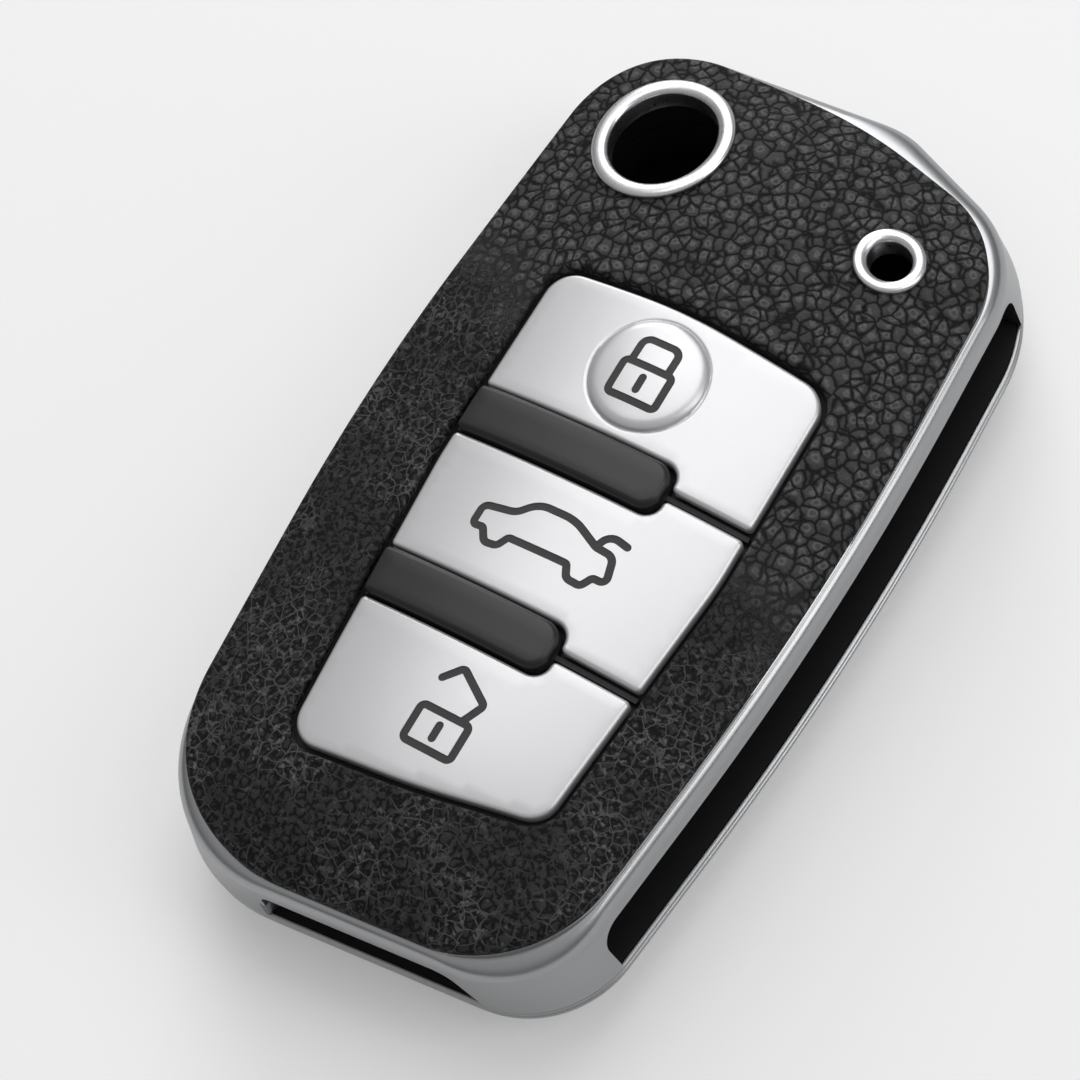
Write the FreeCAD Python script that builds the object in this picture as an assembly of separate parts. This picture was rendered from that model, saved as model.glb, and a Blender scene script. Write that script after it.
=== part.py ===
import FreeCAD, Part
import math
import os

from FreeCAD import Placement, Rotation, Vector

# Key fob cover: two alloy half shells with leather faces that close round a folding car key.
# It lies on its back: +X to the side where the key blade swings out, +Y to the blade's pivot,
# +Z out of the face with the buttons. Lengths are millimetres.

# Edge of the front leather: heels, bends along the sides, shoulders and the crest between them
face_half_width = 19.2
face_half_length = 38.0
face_corner_shares = (
    (-0.955, -1.008), (0.825, -0.919), (1.028, 0.010), (0.964, 0.861),
    (0.140, 0.984), (-0.978, 0.995), (-1.122, 0.030))
face_corner_radii = (13.0, 11.0, 9.5, 35.0, 9.5)
right_bend_share = 6.579
left_bend_share = 4.211

# Outside of the shell below the leather: it swells to a belt and on to the rim where the halves meet
belt_flare = 0.9
rim_flare = 2.1
belt_corner_radii = (12.0, 9.0, 10.0, 7.0, 9.0)
rim_corner_radii = (12.0, 9.0, 14.0, 7.0, 9.0)
crest_shift = 2.6
crest_rise = 1.2
rim_heel_lift = 1.0

# Heights above the surface that the cover lies on
leather_edge_height = 13.7
rail_height = 13.0
belt_height = 11.0
parting_height = 5.7
rim_height = 4.5
tuck_height = 2.2
back_edge_height = 0.3

# Crown of the front face above the leather's edge
crown_rise = 2.9
crown_end_power = 8
crown_columns = 11
crown_rows = 21
crown_margin = 2.0

# Thicknesses
leather_thickness = 0.9
plate_thickness = 0.8
wall_thickness = 1.2
liner_thickness = 0.6
rail_land = 0.35

# Back of the cover
back_tuck = 0.6
back_edge_inset = 1.2
back_leather_border = 0.7
rim_groove_width = 0.25
rim_groove_depth = 0.2
rim_land = 0.3
lip_thickness = 0.35

# Clearances and the overrun that every cut shares
glue_gap = 0.05
leather_fit = 0.1
parting_gap = 0.1
liner_fit = 0.2
liner_step_gap = 0.3
liner_tongue = 1.8
button_gap = 0.5
stem_gap = 0.3
stop_gap = 0.1
overrun = 4.0

# Slots in the shell wall: the blade side and the key ring end
slot_top = 10.6
slot_corner_radius = 2.0
blade_slot_shares = (-0.763, 0.750)
ring_slot_shares = (-0.375, 0.453)
ring_slot_splay = 2.4
scoop_length = 2.0
scoop_height = 2.8

# Button panels: one outline, cut into three by the bars and by the grooves beside them
panel_half_width = 12.4
panel_half_length = 21.0
panel_centre_share = -0.142
panel_corner_shares = (
    (-0.82, -1.050), (0.08, -1.000), (0.87, -0.900), (1.028, 0.140), (1.02, 0.965),
    (-0.05, 1.020), (-0.975, 1.000), (-0.975, 0.140))
panel_corner_radius = 2.4
panel_bow_radius = 60.0
panel_recess = 0.25
button_travel = 0.6
stem_width = 11.0
stem_length = 5.4
stem_radius = 1.5
flange_reach = 1.0
flange_thickness = 0.6

# Bars between the panels
bar_width = 4.0
bar_corner_radius = 1.5
bar_rise = 0.4
bar_centre_shares = (0.357, -0.352)
bar_end_shares = (0.460, 0.395)
bar_gap = 0.25
groove_width = 0.9
groove_floor = 0.8

# Pad behind the panels
pad_reach = 1.6
pad_thickness = 0.9

# Domed spot on the lock panel: a low step with a dome on it
spot_place_shares = (-0.032, 0.733)
spot_radius = 4.7
spot_step = 0.2
spot_rise = 0.35

# Signs on the panels, let into them as dark fill
sign_stroke = 0.55
sign_depth = 0.3
padlock_width = 4.1
padlock_body_height = 3.0
padlock_body_radius = 0.45
shackle_width = 2.7
shackle_height = 2.1
shackle_radius = 1.0
keyhole_width = 0.5
keyhole_height = 1.3
open_lock_place_shares = (0.028, -0.795)
open_shackle_shares = ((0.31, 0.5), (0.52, 1.2), (-0.19, 1.72), (-0.47, 1.3))
car_place_shares = (-0.032, 0.019)
car_length = 12.4
car_height = 4.4
car_corner_radius = 0.35
car_outline_shares = (
    (-0.50, -0.28), (-0.50, 0.02), (-0.42, 0.15), (-0.24, 0.22), (-0.10, 0.50), (0.14, 0.50),
    (0.31, 0.26), (0.43, 0.20), (0.49, 0.04), (0.50, -0.22), (0.45, -0.30), (0.39, -0.30),
    (0.36, -0.47), (0.28, -0.49), (0.22, -0.28), (-0.19, -0.30), (-0.25, -0.49), (-0.33, -0.50),
    (-0.38, -0.32))
car_lid_shares = ((0.31, 0.26), (0.36, 0.47), (0.49, 0.45))

# Eyelets in the leather: over the blade's release button and over the indicator lamp
release_place_shares = (-0.552, 0.766)
release_bore_radius = 4.5
release_flange_radius = 5.9
lamp_place_shares = (0.583, 0.705)
lamp_bore_radius = 1.7
lamp_flange_radius = 2.8
eyelet_wall = 0.6
eyelet_rise = 0.45
eyelet_edge_radius = 0.3
back_hole_radius = 4.7

up = Vector(0, 0, 1)


def line_point(start, end, share):
    return (start[0] + (end[0] - start[0]) * share, start[1] + (end[1] - start[1]) * share)


def unit(start, end):
    run = math.hypot(end[0] - start[0], end[1] - start[1])
    return ((end[0] - start[0]) / run, (end[1] - start[1]) / run)


def corner_turn(corners, index):
    """Directions from a corner to both neighbours, and half the angle between them."""
    corner = corners[index]
    back = unit(corner, corners[index - 1])
    ahead = unit(corner, corners[(index + 1) % len(corners)])
    return back, ahead, math.acos(max(-1, min(1, back[0] * ahead[0] + back[1] * ahead[1]))) / 2


def rounded(corners, height, closed=True):
    """Wire through corners (x, y, radius): straight runs joined by tangent arcs."""
    count = len(corners)
    joints = []
    for index, (x, y, radius) in enumerate(corners):
        at_end = not closed and index in (0, count - 1)
        if at_end or radius <= 0:
            joints.append(((x, y),))
            continue
        back, ahead, half = corner_turn(corners, index)
        reach = radius / math.tan(half)
        middle = unit((0, 0), (back[0] + ahead[0], back[1] + ahead[1]))
        depth = radius / math.sin(half) - radius
        joints.append((
            (x + back[0] * reach, y + back[1] * reach),
            (x + middle[0] * depth, y + middle[1] * depth),
            (x + ahead[0] * reach, y + ahead[1] * reach)))
    edges = []
    for index, joint in enumerate(joints):
        points = [Vector(x, y, height) for x, y in joint]
        if len(points) == 3:
            edges.append(Part.Arc(*points).toShape())
        if closed or index < count - 1:
            following = Vector(*joints[(index + 1) % count][0], height)
            edges.append(Part.LineSegment(points[-1], following).toShape())
    return Part.Wire(edges)


def grown(corners, distance):
    """The same anticlockwise outline with each run moved outwards and each arc kept concentric."""
    count = len(corners)
    moved = []
    for index, (x, y, radius) in enumerate(corners):
        into = unit(corners[index - 1], (x, y))
        out = unit((x, y), corners[(index + 1) % count])
        turn = into[0] * out[1] - into[1] * out[0]
        share = distance / (1 + into[0] * out[0] + into[1] * out[1])
        moved.append((
            x + (into[1] + out[1]) * share,
            y - (into[0] + out[0]) * share,
            max(0, radius + distance * math.copysign(1, turn) if radius else 0)))
    return moved


def column(corners, bottom, top):
    return Part.Face(rounded(corners, bottom)).extrude(up * (top - bottom))


def scaled(shares, half_width, half_length, centre_y=0):
    return [(x * half_width, centre_y + y * half_length) for x, y in shares]


def with_radii(points, radii):
    return [(x, y, radius) for (x, y), radius in zip(points, radii)]


def rectangle(x, y, width, length, radius):
    left, right = x - width / 2, x + width / 2
    low, high = y - length / 2, y + length / 2
    return [(left, low, radius), (right, low, radius), (right, high, radius), (left, high, radius)]


def disc(x, y, radius, bottom, top):
    return Part.makeCylinder(radius, top - bottom, Vector(x, y, bottom))


def on_face(shares):
    return (shares[0] * face_half_width, shares[1] * face_half_length)


def on_panels(shares):
    return (shares[0] * panel_half_width, panel_centre + shares[1] * panel_half_length)


panel_centre = panel_centre_share * face_half_length
blade_slot_low, blade_slot_high = (share * face_half_length for share in blade_slot_shares)
ring_slot_left, ring_slot_right = (share * face_half_width for share in ring_slot_shares)
release_x, release_y = on_face(release_place_shares)
lamp_x, lamp_y = on_face(lamp_place_shares)
spot_x, spot_y = on_panels(spot_place_shares)
open_lock_x, open_lock_y = on_panels(open_lock_place_shares)
car_x, car_y = on_panels(car_place_shares)
bar_ends, bar_centres = zip(*(on_panels(shares) for shares in zip(bar_end_shares, bar_centre_shares)))


def with_bends(radii):
    """Radii of all the corners in order, where each bend's radius is a share of the face's length."""
    heels, top = radii[:2], radii[2:]
    return (*heels, right_bend_share * face_half_length, *top, left_bend_share * face_half_length)


face = with_radii(
    scaled(face_corner_shares, face_half_width, face_half_length), with_bends(face_corner_radii))
left_heel, right_heel, right_bend, right_shoulder, crest, left_shoulder, left_bend = range(len(face))


def shell_outline(flare, radii, heel_lift):
    """Outline of the shell: the face's runs moved out, with the crest pushed aside and the heels lifted."""
    points = [(x, y) for x, y, radius in grown(face, flare)]
    points[crest] = (points[crest][0] + crest_shift, points[crest][1] + crest_rise)
    for heel in (left_heel, right_heel):
        points[heel] = (points[heel][0], points[heel][1] + heel_lift)
    return with_radii(points, with_bends(radii))


belt = shell_outline(belt_flare, belt_corner_radii, 0)
rim = shell_outline(rim_flare, rim_corner_radii, rim_heel_lift)
inside = grown(face, -wall_thickness)
panels = with_radii(
    scaled(panel_corner_shares, panel_half_width, panel_half_length, panel_centre),
    (panel_corner_radius, panel_bow_radius, panel_corner_radius, panel_bow_radius, panel_corner_radius,
     panel_bow_radius, panel_corner_radius, panel_bow_radius))
window = grown(panels, button_gap)


def face_end(x, start, end, bow):
    """Y of the face's end at x: a line between two corners, bowed outwards."""
    share = (x - start[0]) / (end[0] - start[0])
    return line_point(start, end, share)[1] + bow * (1 - (x / face_half_width) ** 2)


def face_side(y, start, end, bow):
    """X of the face's side at y: a line between two corners, bowed outwards."""
    share = (y - start[1]) / (end[1] - start[1])
    return line_point(start, end, share)[0] + bow * (1 - (y / face_half_length) ** 2)


def side_bow(bend, heel, shoulder):
    """How far the arc at a bend stands out from the line between heel and shoulder."""
    x, y, radius = face[bend]
    depth = radius / math.sin(corner_turn(face, bend)[2]) - radius
    return x - math.copysign(depth, x) - face_side(y, face[heel], face[shoulder], 0)


crest_bow = face[crest][1] - face_end(face[crest][0], face[left_shoulder], face[right_shoulder], 0)
left_bow = side_bow(left_bend, left_heel, left_shoulder)
right_bow = side_bow(right_bend, right_heel, right_shoulder)


def from_middle(place, low, high):
    """Place between two ends, as a share of half their distance from the middle."""
    return (2 * place - low - high) / (high - low)


def crown_height(x, y):
    top = face_end(x, face[left_shoulder], face[right_shoulder], crest_bow)
    bottom = face_end(x, face[left_heel], face[right_heel], 0)
    left = face_side(y, face[left_heel], face[left_shoulder], left_bow)
    right = face_side(y, face[right_heel], face[right_shoulder], right_bow)
    across = 1 - from_middle(x, left, right) ** 2
    along = 1 - abs(from_middle(y, bottom, top)) ** crown_end_power
    return leather_edge_height + crown_rise * across * along


def crown_surface():
    half_width = face_half_width + crown_margin
    half_length = face_half_length + crown_margin
    rows = []
    for row in range(crown_rows):
        y = half_length * math.sin(math.pi * (row / (crown_rows - 1) - 1 / 2))
        xs = [half_width * (2 * step / (crown_columns - 1) - 1) for step in range(crown_columns)]
        rows.append([Vector(x, y, crown_height(x, y)) for x in xs])
    surface = Part.BSplineSurface()
    surface.interpolate(rows)
    return surface.toShape()


crown = crown_surface()
full_height = leather_edge_height + crown_rise

# Cuts that go right through end above and beside the whole part
cut_top = full_height + overrun
cut_width = face_half_length * 4


def layer(low, high):
    """Solid between two copies of the crown, both given as heights above the leather's surface."""
    return crown.translated(up * low).extrude(up * (high - low))


def between(corners, low, high):
    """Prism of an outline, ended below and above by copies of the crown."""
    return column(corners, -overrun, cut_top).common(layer(low, high))


def round_between(x, y, radius, low, high):
    return disc(x, y, radius, -overrun, cut_top).common(layer(low, high))


plate_top = -leather_thickness
plate_under = plate_top - plate_thickness
liner_top = plate_under - glue_gap
liner_under = liner_top - liner_thickness
pad_top = plate_under - glue_gap
pad_under = pad_top - pad_thickness
panel_top = -panel_recess
panel_under = pad_top + stop_gap + button_travel


def blade_slot():
    """Cut through the wall on the blade side, open down to the parting line."""
    low = parting_height - parting_gap
    corners = [
        (blade_slot_low, low, 0), (blade_slot_high, low, 0),
        (blade_slot_high, slot_top, slot_corner_radius), (blade_slot_low, slot_top, slot_corner_radius)]
    cut = Part.Face(rounded(corners, 0)).extrude(up * (face_half_width + rim_flare))
    cut.Placement = Placement(Vector(face_half_width / 2, 0, 0), Rotation(Vector(1, 1, 1), 120))
    return cut


def ring_slot():
    """Cut through the wall at the key ring end, with one splayed end and a scoop at the other."""
    low = parting_height - parting_gap
    corners = [
        (ring_slot_left, low, 0), (ring_slot_right + ring_slot_splay, low, 0),
        (ring_slot_right, slot_top, slot_corner_radius), (ring_slot_left, slot_top, slot_corner_radius / 2)]
    cut = Part.Face(rounded(corners, 0)).extrude(up * face_half_length)
    cut.Placement = Placement(Vector(0, -face_half_length / 2, 0), Rotation(Vector(1, 0, 0), 90))
    inner = face_end(ring_slot_left, face[left_heel], face[right_heel], 0) + wall_thickness / 2
    outer = inner - wall_thickness - rim_flare - scoop_length
    wedge = column(
        [(ring_slot_left + scoop_length, inner, 0), (ring_slot_left, inner, 0),
         (ring_slot_left - scoop_length, outer, 0), (ring_slot_left + scoop_length, outer, 0)],
        low, parting_height + scoop_height)
    return cut.fuse(wedge)


slots = blade_slot().fuse(ring_slot())


def without_eyelets(body):
    """The body with holes for both eyelets' barrels."""
    for x, y, radius in ((release_x, release_y, release_bore_radius), (lamp_x, lamp_y, lamp_bore_radius)):
        body = body.cut(disc(x, y, radius + eyelet_wall + glue_gap, 0, cut_top))
    return body


def front_frame():
    foot = parting_height + parting_gap
    land = grown(face, rail_land)
    swell = Part.makeLoft(
        [rounded(rim, foot), rounded(belt, belt_height), rounded(land, rail_height)], True, True)
    body = swell.fuse(column(land, rail_height, cut_top))
    collar = column(rectangle(0, 0, cut_width, cut_width, 0), rail_height, cut_top)
    collar = collar.cut(column(grown(face, -wall_thickness / 2), 0, cut_top))
    body = body.cut(between(face, plate_top, full_height))
    return body.cut(collar).cut(column(inside, 0, cut_top)).cut(slots)


def front_plate():
    """Crowned plate bonded inside the rail: it carries the leather, the eyelets and the pad."""
    plate = between(grown(inside, -glue_gap), plate_under, plate_top)
    return without_eyelets(plate.cut(column(window, 0, cut_top)))


def front_leather():
    sheet = between(grown(face, -leather_fit), plate_top + glue_gap, 0)
    return without_eyelets(sheet.cut(column(window, 0, cut_top)))


def eyelet(x, y, bore, flange):
    """Grommet: a flange that follows the leather and a barrel down through the plate."""
    head = round_between(x, y, flange, glue_gap, eyelet_rise)
    barrel = round_between(x, y, bore + eyelet_wall, plate_under, eyelet_rise - eyelet_edge_radius)
    return head.fuse(barrel).cut(disc(x, y, bore, 0, cut_top)).removeSplitter()


def front_liner():
    outer = grown(inside, -liner_fit)
    foot = parting_height + liner_tongue + liner_step_gap
    shell = between(outer, -full_height, liner_top)
    shell = shell.cut(between(grown(outer, -liner_thickness), -cut_top, liner_under))
    shell = shell.cut(column(grown(outer, overrun), -full_height, foot))
    shell = shell.cut(column(grown(panels, pad_reach + button_gap), 0, cut_top))
    return without_eyelets(shell).cut(slots)


def bar_outline(centre, end, gap=0):
    """Bar from the left edge of the panels, rounded at its right end."""
    low, high = centre - bar_width / 2 - gap, centre + bar_width / 2 + gap
    return [
        (-face_half_width, low, 0), (end + gap, low, bar_corner_radius + gap),
        (end + gap, high, bar_corner_radius + gap), (-face_half_width, high, 0)]


def bar(centre, end):
    return between(bar_outline(centre, end), panel_top - groove_floor / 2, bar_rise).common(
        column(panels, 0, cut_top))


def strip(low, high):
    """Band across the whole part between two values of Y."""
    return column(rectangle(0, (low + high) / 2, cut_width, high - low, 0), 0, cut_top)


def panel(low, high):
    """One panel: the outline between two grooves, with the bars' rounded ends notched out."""
    piece = between(panels, panel_under, panel_top).common(strip(low, high))
    for centre, end in zip(bar_centres, bar_ends):
        piece = piece.cut(column(bar_outline(centre, end, bar_gap), 0, cut_top))
    return piece


panel_edges = [
    (bar_centres[0] + groove_width / 2, face_half_length),
    (bar_centres[1] + groove_width / 2, bar_centres[0] - groove_width / 2),
    (-face_half_length, bar_centres[1] - groove_width / 2)]
panel_tops = (panel_centre + panel_half_length, bar_centres[0], bar_centres[1])
panel_feet = (bar_centres[0], bar_centres[1], panel_centre - panel_half_length)
stem_centres = [
    (panel_tops[0] + panel_feet[0] + bar_width / 2) / 2, (panel_tops[1] + panel_feet[1]) / 2,
    (panel_tops[2] + panel_feet[2] - bar_width / 2) / 2]


def button(index):
    """Panel with its stem through the pad and a flange that stops it from coming out."""
    low, high = panel_edges[index]
    stem = rectangle(0, stem_centres[index], stem_width, stem_length, stem_radius)
    flange_top = pad_under - stop_gap
    body = panel(low, high)
    body = body.fuse(between(stem, flange_top - flange_thickness, (panel_under + panel_top) / 2))
    return body.fuse(between(grown(stem, flange_reach), flange_top - flange_thickness, flange_top))


def button_pad():
    """Pad glued behind the window: a sheet with holes for the stems and ribs that carry the bars."""
    sheet = between(grown(panels, pad_reach), pad_under, pad_top)
    for y in stem_centres:
        hole = grown(rectangle(0, y, stem_width, stem_length, stem_radius), stem_gap)
        sheet = sheet.cut(column(hole, 0, cut_top))
    for centre, end in zip(bar_centres, bar_ends):
        groove = strip(centre - groove_width / 2 + bar_gap, centre + groove_width / 2 - bar_gap)
        rib = between(panels, pad_under, panel_top - groove_floor).common(groove)
        seat = between(bar_outline(centre, end), pad_under, panel_top - groove_floor / 2 - glue_gap)
        sheet = sheet.fuse(rib).fuse(seat.common(column(panels, 0, cut_top)))
    return sheet


def stroke(path):
    """Face of a line sign: the path with half a stroke on each side."""
    if path.isClosed():
        ring = Part.Face(path.makeOffset2D(sign_stroke / 2))
        return ring.cut(Part.Face(path.makeOffset2D(-sign_stroke / 2)))
    return Part.Face(path.makeOffset2D(sign_stroke / 2))


def sign(faces):
    """Tall prism of a sign's strokes, ended below at the depth of the fill."""
    solid = faces[0].extrude(up * cut_top)
    for extra in faces[1:]:
        solid = solid.fuse(extra.extrude(up * cut_top))
    return solid.removeSplitter()


def padlock(x, y, shackle):
    body = rectangle(x, y, padlock_width, padlock_body_height, padlock_body_radius)
    return sign([stroke(rounded(body, 0)), stroke(rounded(shackle, 0, closed=False))])


def closed_shackle(x, y):
    foot = y + padlock_body_height / 2
    left, right = x - shackle_width / 2, x + shackle_width / 2
    return [
        (left, foot, 0), (left, foot + shackle_height, shackle_radius),
        (right, foot + shackle_height, shackle_radius), (right, foot, 0)]


def open_shackle(x, y):
    points = [(x + a * padlock_width, y + b * padlock_body_height) for a, b in open_shackle_shares]
    return with_radii(points, (0, shackle_radius / 2, shackle_radius / 2, 0))


def keyhole(x, y):
    hole = rectangle(x, y, keyhole_width, keyhole_height, keyhole_width / 2 - glue_gap / 2)
    return sign([Part.Face(rounded(hole, 0))])


def car():
    outline = with_radii(
        [(car_x + a * car_length, car_y + b * car_height) for a, b in car_outline_shares],
        [car_corner_radius] * len(car_outline_shares))
    lid = with_radii(
        [(car_x + a * car_length, car_y + b * car_height) for a, b in car_lid_shares],
        (0, car_corner_radius, 0))
    return sign([stroke(rounded(outline, 0)), stroke(rounded(lid, 0, closed=False))])


def lock_spot():
    """Shallow dome on a step that stands on the lock panel."""
    ball_radius = (spot_radius ** 2 + spot_rise ** 2) / (2 * spot_rise)
    top = crown_height(spot_x, spot_y) + panel_top + spot_step + spot_rise
    ball = Part.makeSphere(ball_radius, Vector(spot_x, spot_y, top - ball_radius))
    return ball.common(round_between(spot_x, spot_y, spot_radius, (panel_under + panel_top) / 2, overrun))


def inlaid(button_body, signs, skin_top):
    """Button with its signs let in, and each sign's fill as a solid of its own."""
    fills = []
    for shape in signs:
        fill = button_body.common(shape.common(layer(skin_top - sign_depth, overrun)))
        fills.append(fill)
        button_body = button_body.cut(fill)
    return button_body, fills


def back_frame():
    back_edge = grown(face, -back_edge_inset)
    tuck = grown(face, back_tuck)
    bowl = Part.makeLoft(
        [rounded(back_edge, back_edge_height), rounded(tuck, tuck_height), rounded(rim, rim_height)],
        True, True)
    body = bowl.fuse(column(rim, rim_height, parting_height))
    floor_top = leather_thickness + glue_gap + plate_thickness
    body = body.cut(column(inside, floor_top, parting_height + overrun))
    lip_seat = parting_height - lip_thickness - glue_gap
    body = body.cut(column(grown(rim, -rim_land), lip_seat, parting_height + overrun))
    body = body.cut(column(grown(back_edge, -back_leather_border), -overrun, leather_thickness + glue_gap))
    groove_low = (rim_height + parting_height - rim_groove_width) / 2
    groove = column(grown(rim, overrun), groove_low, groove_low + rim_groove_width)
    body = body.cut(groove.cut(column(grown(rim, -rim_groove_depth), 0, full_height)))
    return body.cut(disc(release_x, release_y, back_hole_radius, -overrun, full_height))


def back_leather():
    outline = grown(face, -back_edge_inset - back_leather_border - leather_fit)
    return column(outline, 0, leather_thickness).cut(
        disc(release_x, release_y, back_hole_radius, -overrun, full_height))


def back_liner():
    """Tray for the key, with a tongue up into the front shell and a lip that lies on the rim."""
    outer = grown(inside, -liner_fit)
    floor_low = leather_thickness + glue_gap + plate_thickness + glue_gap
    tray = column(outer, floor_low, parting_height + liner_tongue)
    tray = tray.cut(column(grown(outer, -liner_thickness), floor_low + liner_thickness, full_height))
    tray = tray.cut(disc(release_x, release_y, back_hole_radius, -overrun, full_height))
    lip = column(grown(rim, -rim_land - leather_fit), parting_height - lip_thickness, parting_height)
    return tray.cut(slots).fuse(lip.cut(column(grown(outer, -liner_thickness), 0, full_height)))


lock_button, (lock_sign, lock_keyhole) = inlaid(
    button(0).fuse(lock_spot()),
    (padlock(spot_x, spot_y - shackle_height / 2, closed_shackle(spot_x, spot_y - shackle_height / 2)),
     keyhole(spot_x, spot_y - shackle_height / 2)),
    panel_top + spot_step + spot_rise / 2)
trunk_button, (trunk_sign,) = inlaid(button(1), (car(),), panel_top)
unlock_button, (unlock_sign, unlock_keyhole) = inlaid(
    button(2),
    (padlock(open_lock_x, open_lock_y, open_shackle(open_lock_x, open_lock_y)),
     keyhole(open_lock_x, open_lock_y)),
    panel_top)

nodes = {
    "front_frame": front_frame(),
    "front_plate": front_plate(),
    "front_leather": front_leather(),
    "release_eyelet": eyelet(release_x, release_y, release_bore_radius, release_flange_radius),
    "lamp_eyelet": eyelet(lamp_x, lamp_y, lamp_bore_radius, lamp_flange_radius),
    "front_liner": front_liner(),
    "button_pad": button_pad(),
    "upper_bar": bar(bar_centres[0], bar_ends[0]),
    "lower_bar": bar(bar_centres[1], bar_ends[1]),
    "lock_button": lock_button,
    "lock_sign": lock_sign,
    "lock_keyhole": lock_keyhole,
    "trunk_button": trunk_button,
    "trunk_sign": trunk_sign,
    "unlock_button": unlock_button,
    "unlock_sign": unlock_sign,
    "unlock_keyhole": unlock_keyhole,
    "back_frame": back_frame(),
    "back_leather": back_leather(),
    "back_liner": back_liner(),
}

# The origin is under the middle of the shell's box, on the surface that the cover lies on
box = rounded(rim, 0).BoundBox
box.add(rounded(belt, 0).BoundBox)
origin = Vector(box.Center.x, box.Center.y, 0)
os.makedirs("parts", exist_ok=True)
for name, shape in nodes.items():
    placed = shape.translated(-origin)
    placed.exportStep(f"parts/{name}.step")
    print(name, len(placed.Solids), placed.isValid(), round(placed.Volume, 2))
print("moved by", -origin)
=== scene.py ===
import math

import bmesh
import bpy
import numpy as np
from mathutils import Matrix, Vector, geometry, kdtree


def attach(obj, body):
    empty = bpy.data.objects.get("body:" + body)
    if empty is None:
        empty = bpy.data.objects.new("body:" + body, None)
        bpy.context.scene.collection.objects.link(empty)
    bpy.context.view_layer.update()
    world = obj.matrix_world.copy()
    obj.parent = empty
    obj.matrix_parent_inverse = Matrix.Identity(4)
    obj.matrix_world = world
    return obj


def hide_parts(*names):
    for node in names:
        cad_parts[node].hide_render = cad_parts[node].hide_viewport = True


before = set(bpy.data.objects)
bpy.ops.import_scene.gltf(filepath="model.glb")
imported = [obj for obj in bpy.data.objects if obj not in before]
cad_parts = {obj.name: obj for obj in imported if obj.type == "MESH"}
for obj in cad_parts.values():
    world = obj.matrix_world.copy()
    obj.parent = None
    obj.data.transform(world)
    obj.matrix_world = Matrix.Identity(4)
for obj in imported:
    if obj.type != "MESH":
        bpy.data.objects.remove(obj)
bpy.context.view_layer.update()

# Back shell
# Lower half of the cover: a die-cast alloy bowl, bead blasted and clear coated to a satin silver.
# A groove round its rim shows as two thin silver lines under the slots. Lengths are millimetres.
millimetre = 0.001
face_half_width = 19.2
face_half_length = 38.0
face_corner_shares = (
    (-0.955, -1.008), (0.825, -0.919), (1.028, 0.010), (0.964, 0.861),
    (0.140, 0.984), (-0.978, 0.995), (-1.122, 0.030))
face_corner_radii = (13.0, 11.0, 250.0, 9.5, 35.0, 9.5, 160.0)
rim_corner_radii = (12.0, 9.0, 250.0, 14.0, 7.0, 9.0, 160.0)
crest_shift = 2.6
crest_rise = 1.2
rim_heel_lift = 1.0
rim_flare = 2.1
wall_thickness = 1.2
parting_height = 5.7
rim_height = 4.5
tuck_height = 2.2
back_edge_height = 0.3
back_tuck = 0.6
back_edge_inset = 1.2
back_leather_border = 0.7
leather_thickness = 0.9
plate_thickness = 0.8
glue_gap = 0.05
rim_groove_width = 0.25
rim_groove_depth = 0.2
rim_bead_radius = 0.18
rim_land = 0.3
lip_thickness = 0.35
back_hole_radius = 4.7
release_place_shares = (-0.552, 0.766)
outline_spacing = 0.5
bowl_rings = 12
crease_reach = 0.6
crease_shares = (-1, -0.5, 0, 0.5, 1)
grid_clear_share = 0.55
bead_steps = 4
floor_spacing = 3.0
smooth_angle = math.radians(38)


def unit(start, end):
    run = math.hypot(end[0] - start[0], end[1] - start[1])
    return ((end[0] - start[0]) / run, (end[1] - start[1]) / run)


def grown(corners, distance):
    """The same anticlockwise outline with each run moved outwards and each arc kept concentric."""
    count = len(corners)
    moved = []
    for index, (x, y, radius) in enumerate(corners):
        into = unit(corners[index - 1], (x, y))
        out = unit((x, y), corners[(index + 1) % count])
        turn = into[0] * out[1] - into[1] * out[0]
        share = distance / (1 + into[0] * out[0] + into[1] * out[1])
        moved.append((
            x + (into[1] + out[1]) * share,
            y - (into[0] + out[0]) * share,
            max(0, radius + distance * math.copysign(1, turn))))
    return moved


def corner_arc(corners, index):
    """Middle of a corner's arc, its radius, the angle where it starts and the angle that it sweeps."""
    x, y, radius = corners[index]
    back = unit((x, y), corners[index - 1])
    ahead = unit((x, y), corners[(index + 1) % len(corners)])
    half = math.acos(max(-1, min(1, back[0] * ahead[0] + back[1] * ahead[1]))) / 2
    middle = unit((0, 0), (back[0] + ahead[0], back[1] + ahead[1]))
    reach = radius / math.tan(half)
    depth = radius / math.sin(half)
    centre = (x + middle[0] * depth, y + middle[1] * depth)
    start = math.atan2(y + back[1] * reach - centre[1], x + back[0] * reach - centre[0])
    end = math.atan2(y + ahead[1] * reach - centre[1], x + ahead[0] * reach - centre[0])
    sweep = (end - start + math.pi) % math.tau - math.pi
    return centre, radius, start, sweep


def step_counts(corners, spacing):
    """Steps for each corner's arc and for the run after it, so that like outlines match point for point."""
    counts = []
    for index in range(len(corners)):
        centre, radius, start, sweep = corner_arc(corners, index)
        run = math.dist(corners[index][:2], corners[(index + 1) % len(corners)][:2])
        counts.append((math.ceil(abs(sweep) * radius / spacing) + 2, math.ceil(run / spacing) + 1))
    return counts


def arc_points(centre, radius, start, sweep, steps):
    """Points at even steps along an arc, both ends among them."""
    angles = [start + sweep * step / steps for step in range(steps + 1)]
    return [(centre[0] + radius * math.cos(a), centre[1] + radius * math.sin(a)) for a in angles]


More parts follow.
